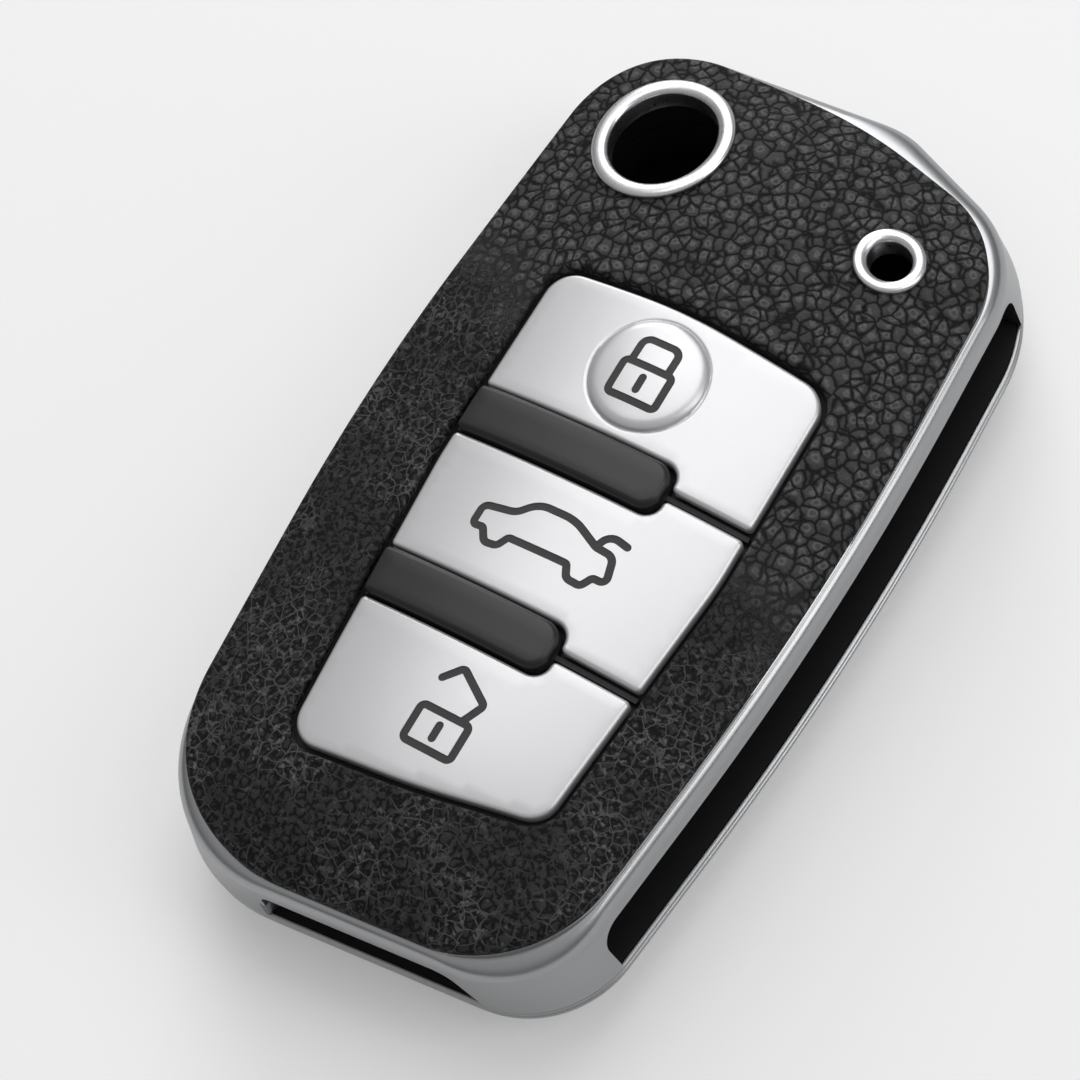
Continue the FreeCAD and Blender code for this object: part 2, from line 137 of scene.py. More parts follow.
def outline_points(corners, counts):
    arcs = [arc_points(*corner_arc(corners, index), steps) for index, (steps, _) in enumerate(counts)]
    points = []
    for index, (_, run_steps) in enumerate(counts):
        points += arcs[index]
        start, end = arcs[index][-1], arcs[(index + 1) % len(arcs)][0]
        for step in range(1, run_steps):
            share = step / run_steps
            points.append((start[0] + (end[0] - start[0]) * share, start[1] + (end[1] - start[1]) * share))
    return points


def circle_points(x, y, radius, spacing):
    return arc_points((x, y), radius, 0, math.tau, math.ceil(math.tau * radius / spacing))[:-1]


face = [
    (x * face_half_width, y * face_half_length, radius)
    for (x, y), radius in zip(face_corner_shares, face_corner_radii)]
left_heel, right_heel, right_bend, right_shoulder, crest, left_shoulder, left_bend = range(len(face))
face_counts = step_counts(face, outline_spacing)


def shell_outline(flare, radii, heel_lift):
    """Outline of the shell: the face's runs moved out, with the crest pushed aside and the heels lifted."""
    corners = [(x, y, radius) for (x, y, old), radius in zip(grown(face, flare), radii)]
    moves = {crest: (crest_shift, crest_rise), left_heel: (0, heel_lift), right_heel: (0, heel_lift)}
    for index, (right, ahead) in moves.items():
        x, y, radius = corners[index]
        corners[index] = (x + right, y + ahead, radius)
    return corners


rim = shell_outline(rim_flare, rim_corner_radii, rim_heel_lift)
inside = grown(face, -wall_thickness)
release_x = release_place_shares[0] * face_half_width
release_y = release_place_shares[1] * face_half_length

# The frame's origin is under the middle of the rim's box
rim_array = np.array(outline_points(rim, face_counts))
rim_middle = (rim_array.min(0) + rim_array.max(0)) / 2


def new_shape():
    return {"points": [], "faces": []}


def add_ring(shape, points, height):
    """Adds a closed ring of points; the height is a number, or a rule of x and y."""
    start = len(shape["points"])
    for x, y in points:
        shape["points"].append((x, y, height(x, y) if callable(height) else height))
    return list(range(start, len(shape["points"])))


def face_ring(shape, corners, height):
    """Ring on an outline that has the face's corners, so that all such rings match point for point."""
    return add_ring(shape, outline_points(corners, face_counts), height)


def add_profile(shape, corners, counts, profile):
    """Rings up a profile, whose steps say how far the outline is moved out and the ring's height."""
    return [add_ring(shape, outline_points(grown(corners, out), counts), height) for out, height in profile]


def add_band(shape, rings):
    """Quads from ring to ring."""
    for first, second in zip(rings, rings[1:]):
        for index in range(len(first)):
            after = (index + 1) % len(first)
            shape["faces"].append((first[index], first[after], second[after], second[index]))


def inside_loops(places, loops):
    """Whether each place is inside an odd number of the loops."""
    starts = np.vstack([np.array(loop) for loop in loops])
    ends = np.vstack([np.roll(np.array(loop), -1, 0) for loop in loops])
    slopes = (ends[:, 0] - starts[:, 0]) / np.where(ends[:, 1] == starts[:, 1], 1, ends[:, 1] - starts[:, 1])
    batch = 4000
    found = []
    for begin in range(0, len(places), batch):
        x, y = places[begin:begin + batch, :1], places[begin:begin + batch, 1:]
        spans = (starts[:, 1] > y) != (ends[:, 1] > y)
        found.append((spans & (x < starts[:, 0] + (y - starts[:, 1]) * slopes)).sum(1) % 2 == 1)
    return np.concatenate(found)


def regions(triangles, walls):
    """Groups of triangles, as lists of numbers, that can be reached without crossing a wall."""
    beside = {}
    for number, triangle in enumerate(triangles):
        for edge in zip(triangle, (*triangle[1:], triangle[0])):
            if frozenset(edge) not in walls:
                beside.setdefault(frozenset(edge), []).append(number)
    group = list(range(len(triangles)))

    def root(number):
        while group[number] != number:
            group[number] = group[group[number]]
            number = group[number]
        return number

    for numbers in beside.values():
        for number in numbers[1:]:
            group[root(number)] = root(numbers[0])
    found = {}
    for number in range(len(triangles)):
        found.setdefault(root(number), []).append(number)
    return list(found.values())


def triangulated(loops, spacing, extra=(), inner_edges=()):
    """Triangles inside the first loop and outside the others, on loop points, grid points and extra points.
    Returns the points, the number of the loop point that each one is, or None, and the triangles."""
    loop_points = [point for loop in loops for point in loop]
    tree = kdtree.KDTree(len(loop_points) * 2 + len(extra))
    for x, y in extra:
        tree.insert((x, y, 0), 0)
    edges = []
    for loop in loops:
        first = len(edges)
        for index, (x, y) in enumerate(loop):
            after = loop[(index + 1) % len(loop)]
            tree.insert((x, y, 0), 0)
            tree.insert(((x + after[0]) / 2, (y + after[1]) / 2, 0), 0)
            edges.append((first + index, first + (index + 1) % len(loop)))
    tree.balance()
    low, high = np.array(loops[0]).min(0), np.array(loops[0]).max(0)
    row_step = spacing * math.sqrt(3) / 2
    grid = []
    for row, y in enumerate(np.arange(low[1], high[1], row_step)):
        grid += [(x, y) for x in np.arange(low[0] + row % 2 * spacing / 2, high[0], spacing)]
    grid = np.array(grid)
    grid = grid[inside_loops(grid, loops)]
    clear = spacing * grid_clear_share
    grid = [(x, y) for x, y in grid if tree.find((x, y, 0))[2] > clear]
    inner_points = []
    for path in inner_edges:
        first = len(loop_points) + len(inner_points)
        inner_points += path
        edges += [(first + i, first + (i + 1) % len(path)) for i in range(len(path))]
    given = [Vector(point) for point in [*loop_points, *inner_points, *extra, *grid]]
    tolerance = 1e-6
    places, _, triangles, origins, _, _ = geometry.delaunay_2d_cdt(given, edges, [], 1, tolerance)
    flat = np.array([tuple(place) for place in places])
    triangles = np.array([tuple(triangle) for triangle in triangles])
    numbers = [min(origin) if origin and min(origin) < len(loop_points) else None for origin in origins]
    if len(loops) == 1:
        return flat, numbers, triangles

    # A whole region is kept or dropped with its largest triangle, so that thin triangles count rightly
    made = {number: index for index, number in enumerate(numbers) if number is not None}
    walls = {frozenset((made[a], made[b])) for a, b in edges[:len(loop_points)]}
    sides = flat[triangles]
    arms = sides[:, 1:] - sides[:, :1]
    areas = abs(arms[:, 0, 0] * arms[:, 1, 1] - arms[:, 0, 1] * arms[:, 1, 0])
    groups = regions(triangles.tolist(), walls)
    largest = [group[int(np.argmax(areas[group]))] for group in groups]
    within = inside_loops(sides[largest].mean(1), loops)
    kept = [number for group, stays in zip(groups, within) if stays for number in group]
    return flat, numbers, triangles[kept]


def add_fill(shape, rings, height, spacing, extra=()):
    """Fills the first ring, less the others, with triangles whose inner points follow the height.
    Returns the numbers of the inner points."""
    loops = [[shape["points"][number][:2] for number in ring] for ring in rings]
    ring_numbers = [number for ring in rings for number in ring]
    flat, numbers, triangles = triangulated(loops, spacing, extra)
    used = {}
    inner = []
    for index in np.unique(triangles):
        if numbers[index] is not None:
            used[index] = ring_numbers[numbers[index]]
            continue
        x, y = flat[index]
        used[index] = len(shape["points"])
        inner.append(used[index])
        shape["points"].append((x, y, height(x, y) if callable(height) else height))
    shape["faces"] += [tuple(used[index] for index in triangle) for triangle in triangles]
    return inner


def as_object(name, shape, material):
    """Mesh object in metres in the frame, with faces outwards and smooth up to the sharp edges."""
    mesh = bpy.data.meshes.new(name)
    places = (np.array(shape["points"]) - [*rim_middle, 0]) * millimetre
    mesh.from_pydata(places.tolist(), [], shape["faces"])
    work = bmesh.new()
    work.from_mesh(mesh)
    bmesh.ops.recalc_face_normals(work, faces=work.faces)
    work.to_mesh(mesh)
    work.free()
    mesh.shade_smooth()
    mesh.set_sharp_from_angle(angle=smooth_angle)
    mesh.materials.append(material)
    made = bpy.data.objects.new(name, mesh)
    bpy.context.scene.collection.objects.link(made)
    return made


def linear(hex_code):
    """Linear colour of an sRGB hex value."""
    parts = [int(hex_code[i:i + 2], 16) / 255 for i in (1, 3, 5)]
    return (*[c / 12.92 if c <= 0.04045 else ((c + 0.055) / 1.055) ** 2.4 for c in parts], 1)


def add_node(tree, kind, settings=()):
    """Adds a node. Settings are its attributes, or values, sockets and nodes that go to its inputs by name or
    number; a node stands for its first output."""
    made = tree.nodes.new(kind)
    for name, value in dict(settings).items():
        source = value.outputs[0] if isinstance(value, bpy.types.Node) else value
        if isinstance(source, bpy.types.NodeSocket):
            tree.links.new(source, made.inputs[name])
        elif isinstance(name, str) and hasattr(made, name):
            setattr(made, name, value)
        else:
            made.inputs[name].default_value = value
    return made


def new_finish(name, colour, settings):
    """Material with its Principled shader set; returns the material, its tree and the shader."""
    material = bpy.data.materials.new(name)
    material.use_nodes = True
    shader = material.node_tree.nodes["Principled BSDF"]
    shader.inputs["Base Color"].default_value = linear(colour)
    for socket, value in settings.items():
        shader.inputs[socket].default_value = value
    return material, material.node_tree, shader


def varied(finish, size, detail, colours=(), roughness=(), bump=()):
    """Lets a noise of a real size vary a finish between two colours or two roughnesses, or raise a bump of a
    strength and depth. Returns the material."""
    material, tree, shader = finish
    noise = add_node(tree, "ShaderNodeTexNoise", {
        "Vector": add_node(tree, "ShaderNodeTexCoord").outputs["Object"],
        "Scale": 1 / (size * millimetre), "Detail": detail})
    if colours:
        mixed = add_node(tree, "ShaderNodeMix", {
            "data_type": "RGBA", 0: noise, 6: linear(colours[0]), 7: linear(colours[1])})
        tree.links.new(mixed.outputs[2], shader.inputs["Base Color"])
    if roughness:
        ranged = add_node(tree, "ShaderNodeMapRange", {
            "To Min": roughness[0], "To Max": roughness[1], "Value": noise})
        tree.links.new(ranged.outputs[0], shader.inputs["Roughness"])
    if bump:
        raised = add_node(tree, "ShaderNodeBump", {
            "Strength": bump[0], "Distance": bump[1] * millimetre, "Height": noise})
        tree.links.new(raised.outputs[0], shader.inputs["Normal"])
    return material


# Bead-blasted alloy under clear coat: an even satin sheen with a faint cloudiness and a fine grit.
# The grit is drawn at a third of a millimetre, coarser than the real one, so that it shows.
grit_size = 0.33
grit_depth = 0.05
cloud_size = 9.0
alloy_finish = new_finish(
    "satin_blasted_alloy", "#b0b1b3", {"Metallic": 1, "Roughness": 0.3, "Coat Weight": 0.15})
varied(alloy_finish, cloud_size, 2, roughness=(0.25, 0.36))
alloy = varied(alloy_finish, grit_size, 3, bump=(0.05, grit_depth))

bowl = new_shape()
back_edge = grown(face, -back_edge_inset)
tuck = grown(face, back_tuck)
leather_seat = leather_thickness + glue_gap
floor_top = leather_seat + plate_thickness


def between_outlines(sections, height):
    """Outline at a height on straight walls between rising outlines (height, points), creases rounded."""
    total = np.zeros_like(sections[0][1])
    for share in crease_shares:
        level = height + crease_reach * share
        for (low, low_points), (high, high_points) in zip(sections, sections[1:]):
            if level <= high:
                break
        total += low_points + (high_points - low_points) * (level - low) / (high - low)
    return total / len(crease_shares)


bowl_sections = [
    (level, np.array(outline_points(corners, face_counts)))
    for level, corners in ((back_edge_height, back_edge), (tuck_height, tuck), (rim_height, rim))]
recess_outline = grown(back_edge, -back_leather_border)
border = face_ring(bowl, recess_outline, back_edge_height)
recess = face_ring(bowl, recess_outline, leather_seat)
outer_rings = [recess, border]
for step in range(bowl_rings):
    level = back_edge_height + (rim_height - back_edge_height) * step / bowl_rings
    outer_rings.append(add_ring(bowl, between_outlines(bowl_sections, level), level))

# Two rounded beads with the groove between them
bead_height = (parting_height - rim_height - rim_groove_width) / 2
groove = grown(rim, -rim_groove_depth)
for bead in range(2):
    low = rim_height + bead * (bead_height + rim_groove_width)
    if bead:
        outer_rings.append(face_ring(bowl, groove, low))
    for end in range(2):
        middle = low + rim_bead_radius if end == 0 else low + bead_height - rim_bead_radius
        for step in range(bead_steps + 1):
            turn = math.pi / 2 * (step / bead_steps - 1 + end)
            corners = grown(rim, rim_bead_radius * (math.cos(turn) - 1))
            outer_rings.append(face_ring(bowl, corners, middle + rim_bead_radius * math.sin(turn)))
    if not bead:
        outer_rings.append(face_ring(bowl, groove, low + bead_height))
lip_seat = parting_height - lip_thickness - glue_gap
land = grown(rim, -rim_land)
for corners, level in ((land, parting_height), (land, lip_seat), (inside, lip_seat), (inside, floor_top)):
    outer_rings.append(face_ring(bowl, corners, level))
add_band(bowl, outer_rings)
back_hole = circle_points(release_x, release_y, back_hole_radius, outline_spacing)
hole_low = add_ring(bowl, back_hole, leather_seat)
hole_high = add_ring(bowl, back_hole, floor_top)
add_band(bowl, [hole_low, hole_high])
add_fill(bowl, [recess, hole_low], leather_seat, floor_spacing)
add_fill(bowl, [outer_rings[-1], hole_high], floor_top, floor_spacing)
back_shell = as_object("back_shell", bowl, alloy)
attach(back_shell, "back_half")
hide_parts("back_frame")

# Leather back
# A panel of the same black leather, skived and glued into the shell's recess, so that the cover
# lies soft on a table. It has the hole under the key's pivot.
back_leather_fit = 0.1
skin_edge_radius = 0.45
skin_edge_steps = 4
leather_outline_spacing = 0.4
back_grain_spacing = 0.3
grain_fade = 0.9
pebble_spacing = 1.05
pebble_depth = 0.1
wrinkle_spacing = 2.6
wrinkle_depth = 0.07
vein_spacing = 0.7
vein_depth = 0.07
grain_warp = 0.7
zone_slant = 0.5
zone_start = -1.0
zone_reach = 12.0
zone_ragged = 14.0

# Full-grain leather, dyed black and pressed with a pebble grain: each pebble has painted shade in its cracks
# and a paler ring that is a painted highlight, and where the hide was stretched the pebbles sink into a
# darker ground crossed by fine pale veins and flecks of painted glint. The pale pebbles up and to the right
# are partly grain, partly painted light.
highlight_radius_share = 0.27
highlight_width_share = 0.15
glint_size = 0.5
pore_size = 0.2
patch_size = 6.0
bump_depth = 0.08
smooth = {"interpolation_type": "SMOOTHSTEP"}
leather, leather_tree, leather_shader = new_finish(
    "pebbled_black_leather", "#202021", {"Roughness": 0.55, "IOR": 1.5, "Specular IOR Level": 0.18})
leather_place = add_node(leather_tree, "ShaderNodeTexCoord").outputs["Object"]


def grain_cells(tree, place, scale, warp, feature="DISTANCE_TO_EDGE"):
    """Distance to the edge, or to another feature, of pebbles whose places drift a little."""
    drift = add_node(tree, "ShaderNodeTexNoise", {"Detail": 2, "Vector": place, "Scale": scale})
    centred = add_node(tree, "ShaderNodeVectorMath", {
        "operation": "SUBTRACT", 0: drift.outputs["Color"], 1: (0.5, 0.5, 0.5)})
    scaled = add_node(tree, "ShaderNodeVectorMath", {"operation": "SCALE", 0: centred, "Scale": warp})
    moved = add_node(tree, "ShaderNodeVectorMath", {"operation": "ADD", 0: place, 1: scaled})
    return add_node(tree, "ShaderNodeTexVoronoi", {
        "voronoi_dimensions": "3D", "feature": feature, "Vector": moved, "Scale": scale})


def pebble_zone(tree, place):
    """1 where the grain is whole pebbles, up and to the right, 0 where it is veins, with a ragged border."""
    parts = add_node(tree, "ShaderNodeSeparateXYZ", {0: place}).outputs
    slanted = add_node(tree, "ShaderNodeMath", {
        "operation": "MULTIPLY_ADD", 0: parts["X"], 1: zone_slant, 2: parts["Y"]})
    ragged = add_node(tree, "ShaderNodeTexNoise", {
        "Vector": place, "Scale": 1 / (patch_size * millimetre), "Detail": 3})
    pushed = add_node(tree, "ShaderNodeMath", {
        "operation": "MULTIPLY_ADD", 0: ragged, 1: zone_ragged * millimetre, 2: slanted})
    start = (zone_start + zone_ragged / 2) * millimetre
    return add_node(tree, "ShaderNodeMapRange", {
        **smooth, "From Min": start, "From Max": start + zone_reach * millimetre, "Value": pushed})


# Pebbles: painted shade in the dark cracks, and a painted highlight ring a little way from the middle that is
# paler than the rest
leather_warp = grain_warp * millimetre
pebble_grain = (leather_tree, leather_place, 1 / (pebble_spacing * millimetre), leather_warp)
leather_edge = grain_cells(*pebble_grain)
leather_middle = grain_cells(*pebble_grain, "F1")
small_edge = grain_cells(leather_tree, leather_place, 1 / (vein_spacing * millimetre), leather_warp)
leather_zone = pebble_zone(leather_tree, leather_place)
glint_noise, pores, patches = (
    add_node(leather_tree, "ShaderNodeTexNoise", {
        "Vector": leather_place, "Scale": 1 / (size * millimetre), "Detail": 3})
    for size in (glint_size, pore_size, patch_size))
# Pale pebble tops over dark cracks: the dark is painted shade in the cracks
lit_pebble_top = add_node(leather_tree, "ShaderNodeMapRange", {
    **smooth, "From Max": 0.2, "To Max": 0.85, "Value": leather_edge})
from_ring = add_node(leather_tree, "ShaderNodeMath", {
    "operation": "SUBTRACT", 0: leather_middle, 1: highlight_radius_share})
beside_ring = add_node(leather_tree, "ShaderNodeMath", {"operation": "ABSOLUTE", 0: from_ring})
# Painted highlight: a paler ring round each pebble's middle
pebble_highlight_ring = add_node(leather_tree, "ShaderNodeMapRange", {
    **smooth, "From Max": highlight_width_share, "To Min": 1, "To Max": 0.5, "Value": beside_ring})
pebble_painted_light = add_node(leather_tree, "ShaderNodeMath", {
    "operation": "MULTIPLY", 0: lit_pebble_top, 1: pebble_highlight_ring})

# Stretched grain: pale veins, and flecks of painted glint, that come and go in patches, over fine dull
# pebbles
vein_pale = add_node(leather_tree, "ShaderNodeMapRange", {
    **smooth, "From Max": 0.08, "To Min": 0.7, "To Max": 0, "Value": leather_edge})
# Painted glints: pale flecks where the stretched grain would catch the light
painted_glints = add_node(leather_tree, "ShaderNodeMapRange", {
    **smooth, "From Min": 0.54, "From Max": 0.7, "Value": glint_noise})
fine_pale = add_node(leather_tree, "ShaderNodeMapRange", {
    **smooth, "From Min": 0.02, "From Max": 0.3, "To Max": 0.22, "Value": small_edge})
patch_pale = add_node(leather_tree, "ShaderNodeMapRange", {
    "From Min": 0.35, "From Max": 0.65, "To Min": 0.3, "Value": patches})
vein_glint_marks = add_node(leather_tree, "ShaderNodeMath", {"operation": "MAXIMUM", 0: vein_pale, 1: painted_glints})
patchy_vein_glint_marks = add_node(leather_tree, "ShaderNodeMath", {
    "operation": "MULTIPLY", 0: vein_glint_marks, 1: patch_pale})
stretched_grain_and_glints = add_node(leather_tree, "ShaderNodeMath", {
    "operation": "MAXIMUM", 0: fine_pale, 1: patchy_vein_glint_marks})

# Both together, painted highlights and shade among them, set the colour, the gloss and the finest relief,
# with pores all over
# Up and to the right the pebbles come out paler than the veined grain: partly grain, partly painted light
# from the top
grain_and_painted_light = add_node(leather_tree, "ShaderNodeMix", {
    "data_type": "FLOAT", 0: leather_zone, 2: stretched_grain_and_glints, 3: pebble_painted_light})
pore_light = add_node(leather_tree, "ShaderNodeMath", {"operation": "ADD", 0: pores, 1: 0.5})
speckled_grain_and_light = add_node(leather_tree, "ShaderNodeMath", {
    "operation": "MULTIPLY", 0: grain_and_painted_light, 1: pore_light})
leather_colour = add_node(leather_tree, "ShaderNodeMix", {
    "data_type": "RGBA", 0: speckled_grain_and_light, 6: linear("#080809"), 7: linear("#5c5c5d")})
leather_roughness = add_node(leather_tree, "ShaderNodeMapRange", {
    "To Min": 0.75, "To Max": 0.5, "Value": grain_and_painted_light})
leather_height = add_node(leather_tree, "ShaderNodeMath", {
    "operation": "MULTIPLY_ADD", 0: pores, 1: 0.5, 2: grain_and_painted_light})
leather_bump = add_node(leather_tree, "ShaderNodeBump", {
    "Strength": 0.5, "Distance": bump_depth * millimetre, "Height": leather_height})
leather_tree.links.new(leather_colour.outputs[2], leather_shader.inputs["Base Color"])
leather_tree.links.new(leather_roughness.outputs[0], leather_shader.inputs["Roughness"])
leather_tree.links.new(leather_bump.outputs[0], leather_shader.inputs["Normal"])

# Grain as real relief: creases round each pebble, veins and fine creases where it is stretched, and wrinkles
grain_tree = bpy.data.node_groups.new("pressed_leather_grain", "GeometryNodeTree")
grain_tree.interface.new_socket("Geometry", in_out="INPUT", socket_type="NodeSocketGeometry")
grain_sizes = {
    "Pebble Spacing": pebble_spacing, "Pebble Depth": pebble_depth, "Wrinkle Spacing": wrinkle_spacing,
    "Wrinkle Depth": wrinkle_depth, "Vein Spacing": vein_spacing, "Vein Depth": vein_depth,
    "Warp": grain_warp}
grain_sockets = {
    name: grain_tree.interface.new_socket(name, in_out="INPUT", socket_type="NodeSocketFloat").identifier
    for name in grain_sizes}
grain_tree.interface.new_socket("Geometry", in_out="OUTPUT", socket_type="NodeSocketGeometry")
grain_in = add_node(grain_tree, "NodeGroupInput").outputs
grain_place = add_node(grain_tree, "GeometryNodeInputPosition")
wrinkle_scale, pebble_scale, vein_scale = (
    add_node(grain_tree, "ShaderNodeMath", {"operation": "DIVIDE", 0: 1, 1: grain_in[name + " Spacing"]})
    for name in ("Wrinkle", "Pebble", "Vein"))
grain_edge, vein_edge = (
    grain_cells(grain_tree, grain_place, scale, grain_in["Warp"]) for scale in (pebble_scale, vein_scale))
pebble_sink = add_node(grain_tree, "ShaderNodeMapRange", {
    **smooth, "From Max": 0.22, "To Min": -1, "To Max": 0, "Value": grain_edge})
vein_crease = add_node(grain_tree, "ShaderNodeMapRange", {
    **smooth, "From Max": 0.35, "To Min": 1, "To Max": 0, "Value": vein_edge})
beside_vein = add_node(grain_tree, "ShaderNodeMapRange", {
    **smooth, "From Max": 0.2, "To Min": 0, "To Max": -1, "Value": grain_edge})
vein_sink = add_node(grain_tree, "ShaderNodeMath", {"operation": "MULTIPLY", 0: vein_crease, 1: beside_vein})
wrinkles = add_node(grain_tree, "ShaderNodeTexNoise", {
    "Detail": 3, "Distortion": 0.6, "Vector": grain_place, "Scale": wrinkle_scale})
pebble_move, vein_move, wrinkle_move = (
    add_node(grain_tree, "ShaderNodeMath", {"operation": "MULTIPLY", 0: sink, 1: grain_in[name + " Depth"]})
    for name, sink in (("Pebble", pebble_sink), ("Vein", vein_sink), ("Wrinkle", wrinkles)))
zone_move = add_node(grain_tree, "ShaderNodeMix", {
    "data_type": "FLOAT", 0: pebble_zone(grain_tree, grain_place), 2: vein_move, 3: pebble_move})
grain_move = add_node(grain_tree, "ShaderNodeMath", {"operation": "SUBTRACT", 0: zone_move, 1: wrinkle_move})
grain_share = add_node(
    grain_tree, "GeometryNodeInputNamedAttribute", {"data_type": "FLOAT", "Name": "grain"})
grain_scaled = add_node(grain_tree, "ShaderNodeMath", {
    "operation": "MULTIPLY", 0: grain_move, 1: grain_share})
grain_offset = add_node(grain_tree, "ShaderNodeVectorMath", {
    "operation": "SCALE", 0: add_node(grain_tree, "GeometryNodeInputNormal"), "Scale": grain_scaled})
grain_set = add_node(
    grain_tree, "GeometryNodeSetPosition", {"Geometry": grain_in["Geometry"], "Offset": grain_offset})
grain_real = add_node(grain_tree, "GeometryNodeRealizeInstances", {"Geometry": grain_set})
grain_finish = add_node(grain_tree, "GeometryNodeSetMaterial", {"Geometry": grain_real, "Material": leather})
add_node(grain_tree, "NodeGroupOutput", {"Geometry": grain_finish})


def pressed(made, inner, rings):
    """Presses the grain into the inner points of a leather piece and leaves a plain mesh."""
    mesh = made.data
    tree = kdtree.KDTree(sum(len(ring) for ring in rings))
    for ring in rings:
        for number in ring:
            tree.insert(mesh.vertices[number].co, 0)
    tree.balance()
    shares = np.zeros(len(mesh.vertices), np.float32)
    for number in inner:
        shares[number] = min(1, tree.find(mesh.vertices[number].co)[2] / (grain_fade * millimetre))
    mesh.attributes.new("grain", "FLOAT", "POINT").data.foreach_set("value", shares)
    modifier = made.modifiers.new("grain", "NODES")
    modifier.node_group = grain_tree
    for name, size in grain_sizes.items():
        modifier[grain_sockets[name]] = size * millimetre
    evaluated = made.evaluated_get(bpy.context.evaluated_depsgraph_get())
    plain = bpy.data.meshes.new_from_object(evaluated)
    made.modifiers.remove(modifier)
    made.data = plain
    bpy.data.meshes.remove(mesh)
    plain.name = made.name


def quarter(steps):
    """Cosine and sine at even steps through a quarter turn."""
    turns = [math.pi / 2 * step / steps for step in range(steps + 1)]
    return [(math.cos(turn), math.sin(turn)) for turn in turns]


def rolled_edge(shape, outline, counts, inwards, top, bottom):
    """Rings up a cut leather edge and round its rolled top; returns the lowest and the last ring."""
    rings = [add_ring(shape, outline_points(outline, counts), bottom)]
    for across, up in quarter(skin_edge_steps):
        moved = grown(outline, -inwards * skin_edge_radius * (1 - across))
        drop = skin_edge_radius * (1 - up)
        rings.append(add_ring(
            shape, outline_points(moved, counts),
            lambda x, y: top(x, y) - drop * math.copysign(1, top(x, y) - bottom(x, y))))
    add_band(shape, rings)
    return rings[0], rings[-1]


back_skin = new_shape()
back_outline = grown(face, -back_edge_inset - back_leather_border - back_leather_fit)
back_counts = step_counts(back_outline, leather_outline_spacing)
back_inner_edge, back_outer_edge = rolled_edge(
    back_skin, back_outline, back_counts, 1, lambda x, y: 0, lambda x, y: leather_thickness)
skin_hole = circle_points(release_x, release_y, back_hole_radius, leather_outline_spacing)
skin_hole_low = add_ring(back_skin, skin_hole, 0)
skin_hole_high = add_ring(back_skin, skin_hole, leather_thickness)
add_band(back_skin, [skin_hole_low, skin_hole_high])
back_inner = add_fill(back_skin, [back_outer_edge, skin_hole_low], 0, back_grain_spacing)
add_fill(back_skin, [back_inner_edge, skin_hole_high], leather_thickness, floor_spacing)
back_panel = as_object("back_leather_panel", back_skin, leather)
pressed(back_panel, back_inner, [back_outer_edge, skin_hole_low])
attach(back_panel, "back_half")
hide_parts("back_leather")

# Liners
# Thin black thermoplastic elastomer trays that grip the key inside both shells. They are moulded,
# dull and a little dusty, and show only through the slots and the holes.
moulding_size = 0.5
moulding_depth = 0.03
elastomer = varied(
    new_finish(
        "moulded_black_elastomer", "#0d0d0e", {"Roughness": 0.7, "IOR": 1.5, "Specular IOR Level": 0.3}),
    moulding_size, 3, colours=("#080808", "#121213"), bump=(0.2, moulding_depth))


def dressed(node, material):
    """Gives a CAD node its material and leaves its shape alone."""
    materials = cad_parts[node].data.materials
    materials.clear()
    materials.append(material)


for node in ("back_liner", "front_liner"):
    dressed(node, elastomer)

# Front shell
# Upper half of the cover, cast in the same alloy: a wall with a rounded rail round the leather. A
# crowned plate is bonded inside it, with openings for the button panels and the two eyelets.
belt_flare = 0.9
belt_corner_radii = (12.0, 9.0, 250.0, 10.0, 7.0, 9.0, 160.0)
belt_height = 11.0
rail_height = 12.7
leather_edge_height = 13.7
parting_gap = 0.1
rail_steps = 10
rail_lip = 0.08
flank_rings = 10
foot_radius = 0.12
crown_rise = 2.9
crown_end_power = 8
slot_top = 10.6
slot_corner_radius = 2.0
slot_spacing = 0.35
slot_depth_shares = (0.5, 1.5)
tight_radius = 0.02
blade_slot_shares = (-0.763, 0.800)
ring_slot_shares = (-0.375, 0.453)
ring_slot_splay = 2.4
scoop_length = 2.0
scoop_height = 2.8
panel_half_width = 12.4
panel_half_length = 21.0
panel_centre_share = -0.142
panel_centre = panel_centre_share * face_half_length
panel_corner_shares = (
    (-0.82, -1.050), (0.08, -1.000), (0.87, -0.900), (1.028, 0.140), (1.02, 0.965),
    (-0.05, 1.020), (-0.975, 1.000), (-0.975, 0.140))
panel_corner_radius = 2.4
panel_bow_radius = 60.0
button_gap = 0.5
lamp_place_shares = (0.583, 0.705)
release_bore_radius = 4.5
lamp_bore_radius = 1.7
eyelet_wall = 0.6
plate_spacing = 1.6
plate_top = -leather_thickness
plate_under = plate_top - plate_thickness


def face_end(x, start, end, bow):
    """Y of the face's end at x: a line between two corners, bowed outwards."""
    share = (x - start[0]) / (end[0] - start[0])
    return start[1] + (end[1] - start[1]) * share + bow * (1 - (x / face_half_width) ** 2)


def face_side(y, start, end, bow):
    """X of the face's side at y: a line between two corners, bowed outwards."""
    share = (y - start[1]) / (end[1] - start[1])
    return start[0] + (end[0] - start[0]) * share + bow * (1 - (y / face_half_length) ** 2)


def side_bow(bend, heel, shoulder):
    """How far the arc at a bend stands out from the line between heel and shoulder."""
    x, y, radius = face[bend]
    depth = math.dist((x, y), corner_arc(face, bend)[0]) - radius
    return x - math.copysign(depth, x) - face_side(y, face[heel], face[shoulder], 0)


crest_bow = face[crest][1] - face_end(face[crest][0], face[left_shoulder], face[right_shoulder], 0)
left_bow = side_bow(left_bend, left_heel, left_shoulder)
right_bow = side_bow(right_bend, right_heel, right_shoulder)


def from_middle(place, low, high):
    """Place between two ends, as a share of half their distance from the middle."""
    return (2 * place - low - high) / (high - low)


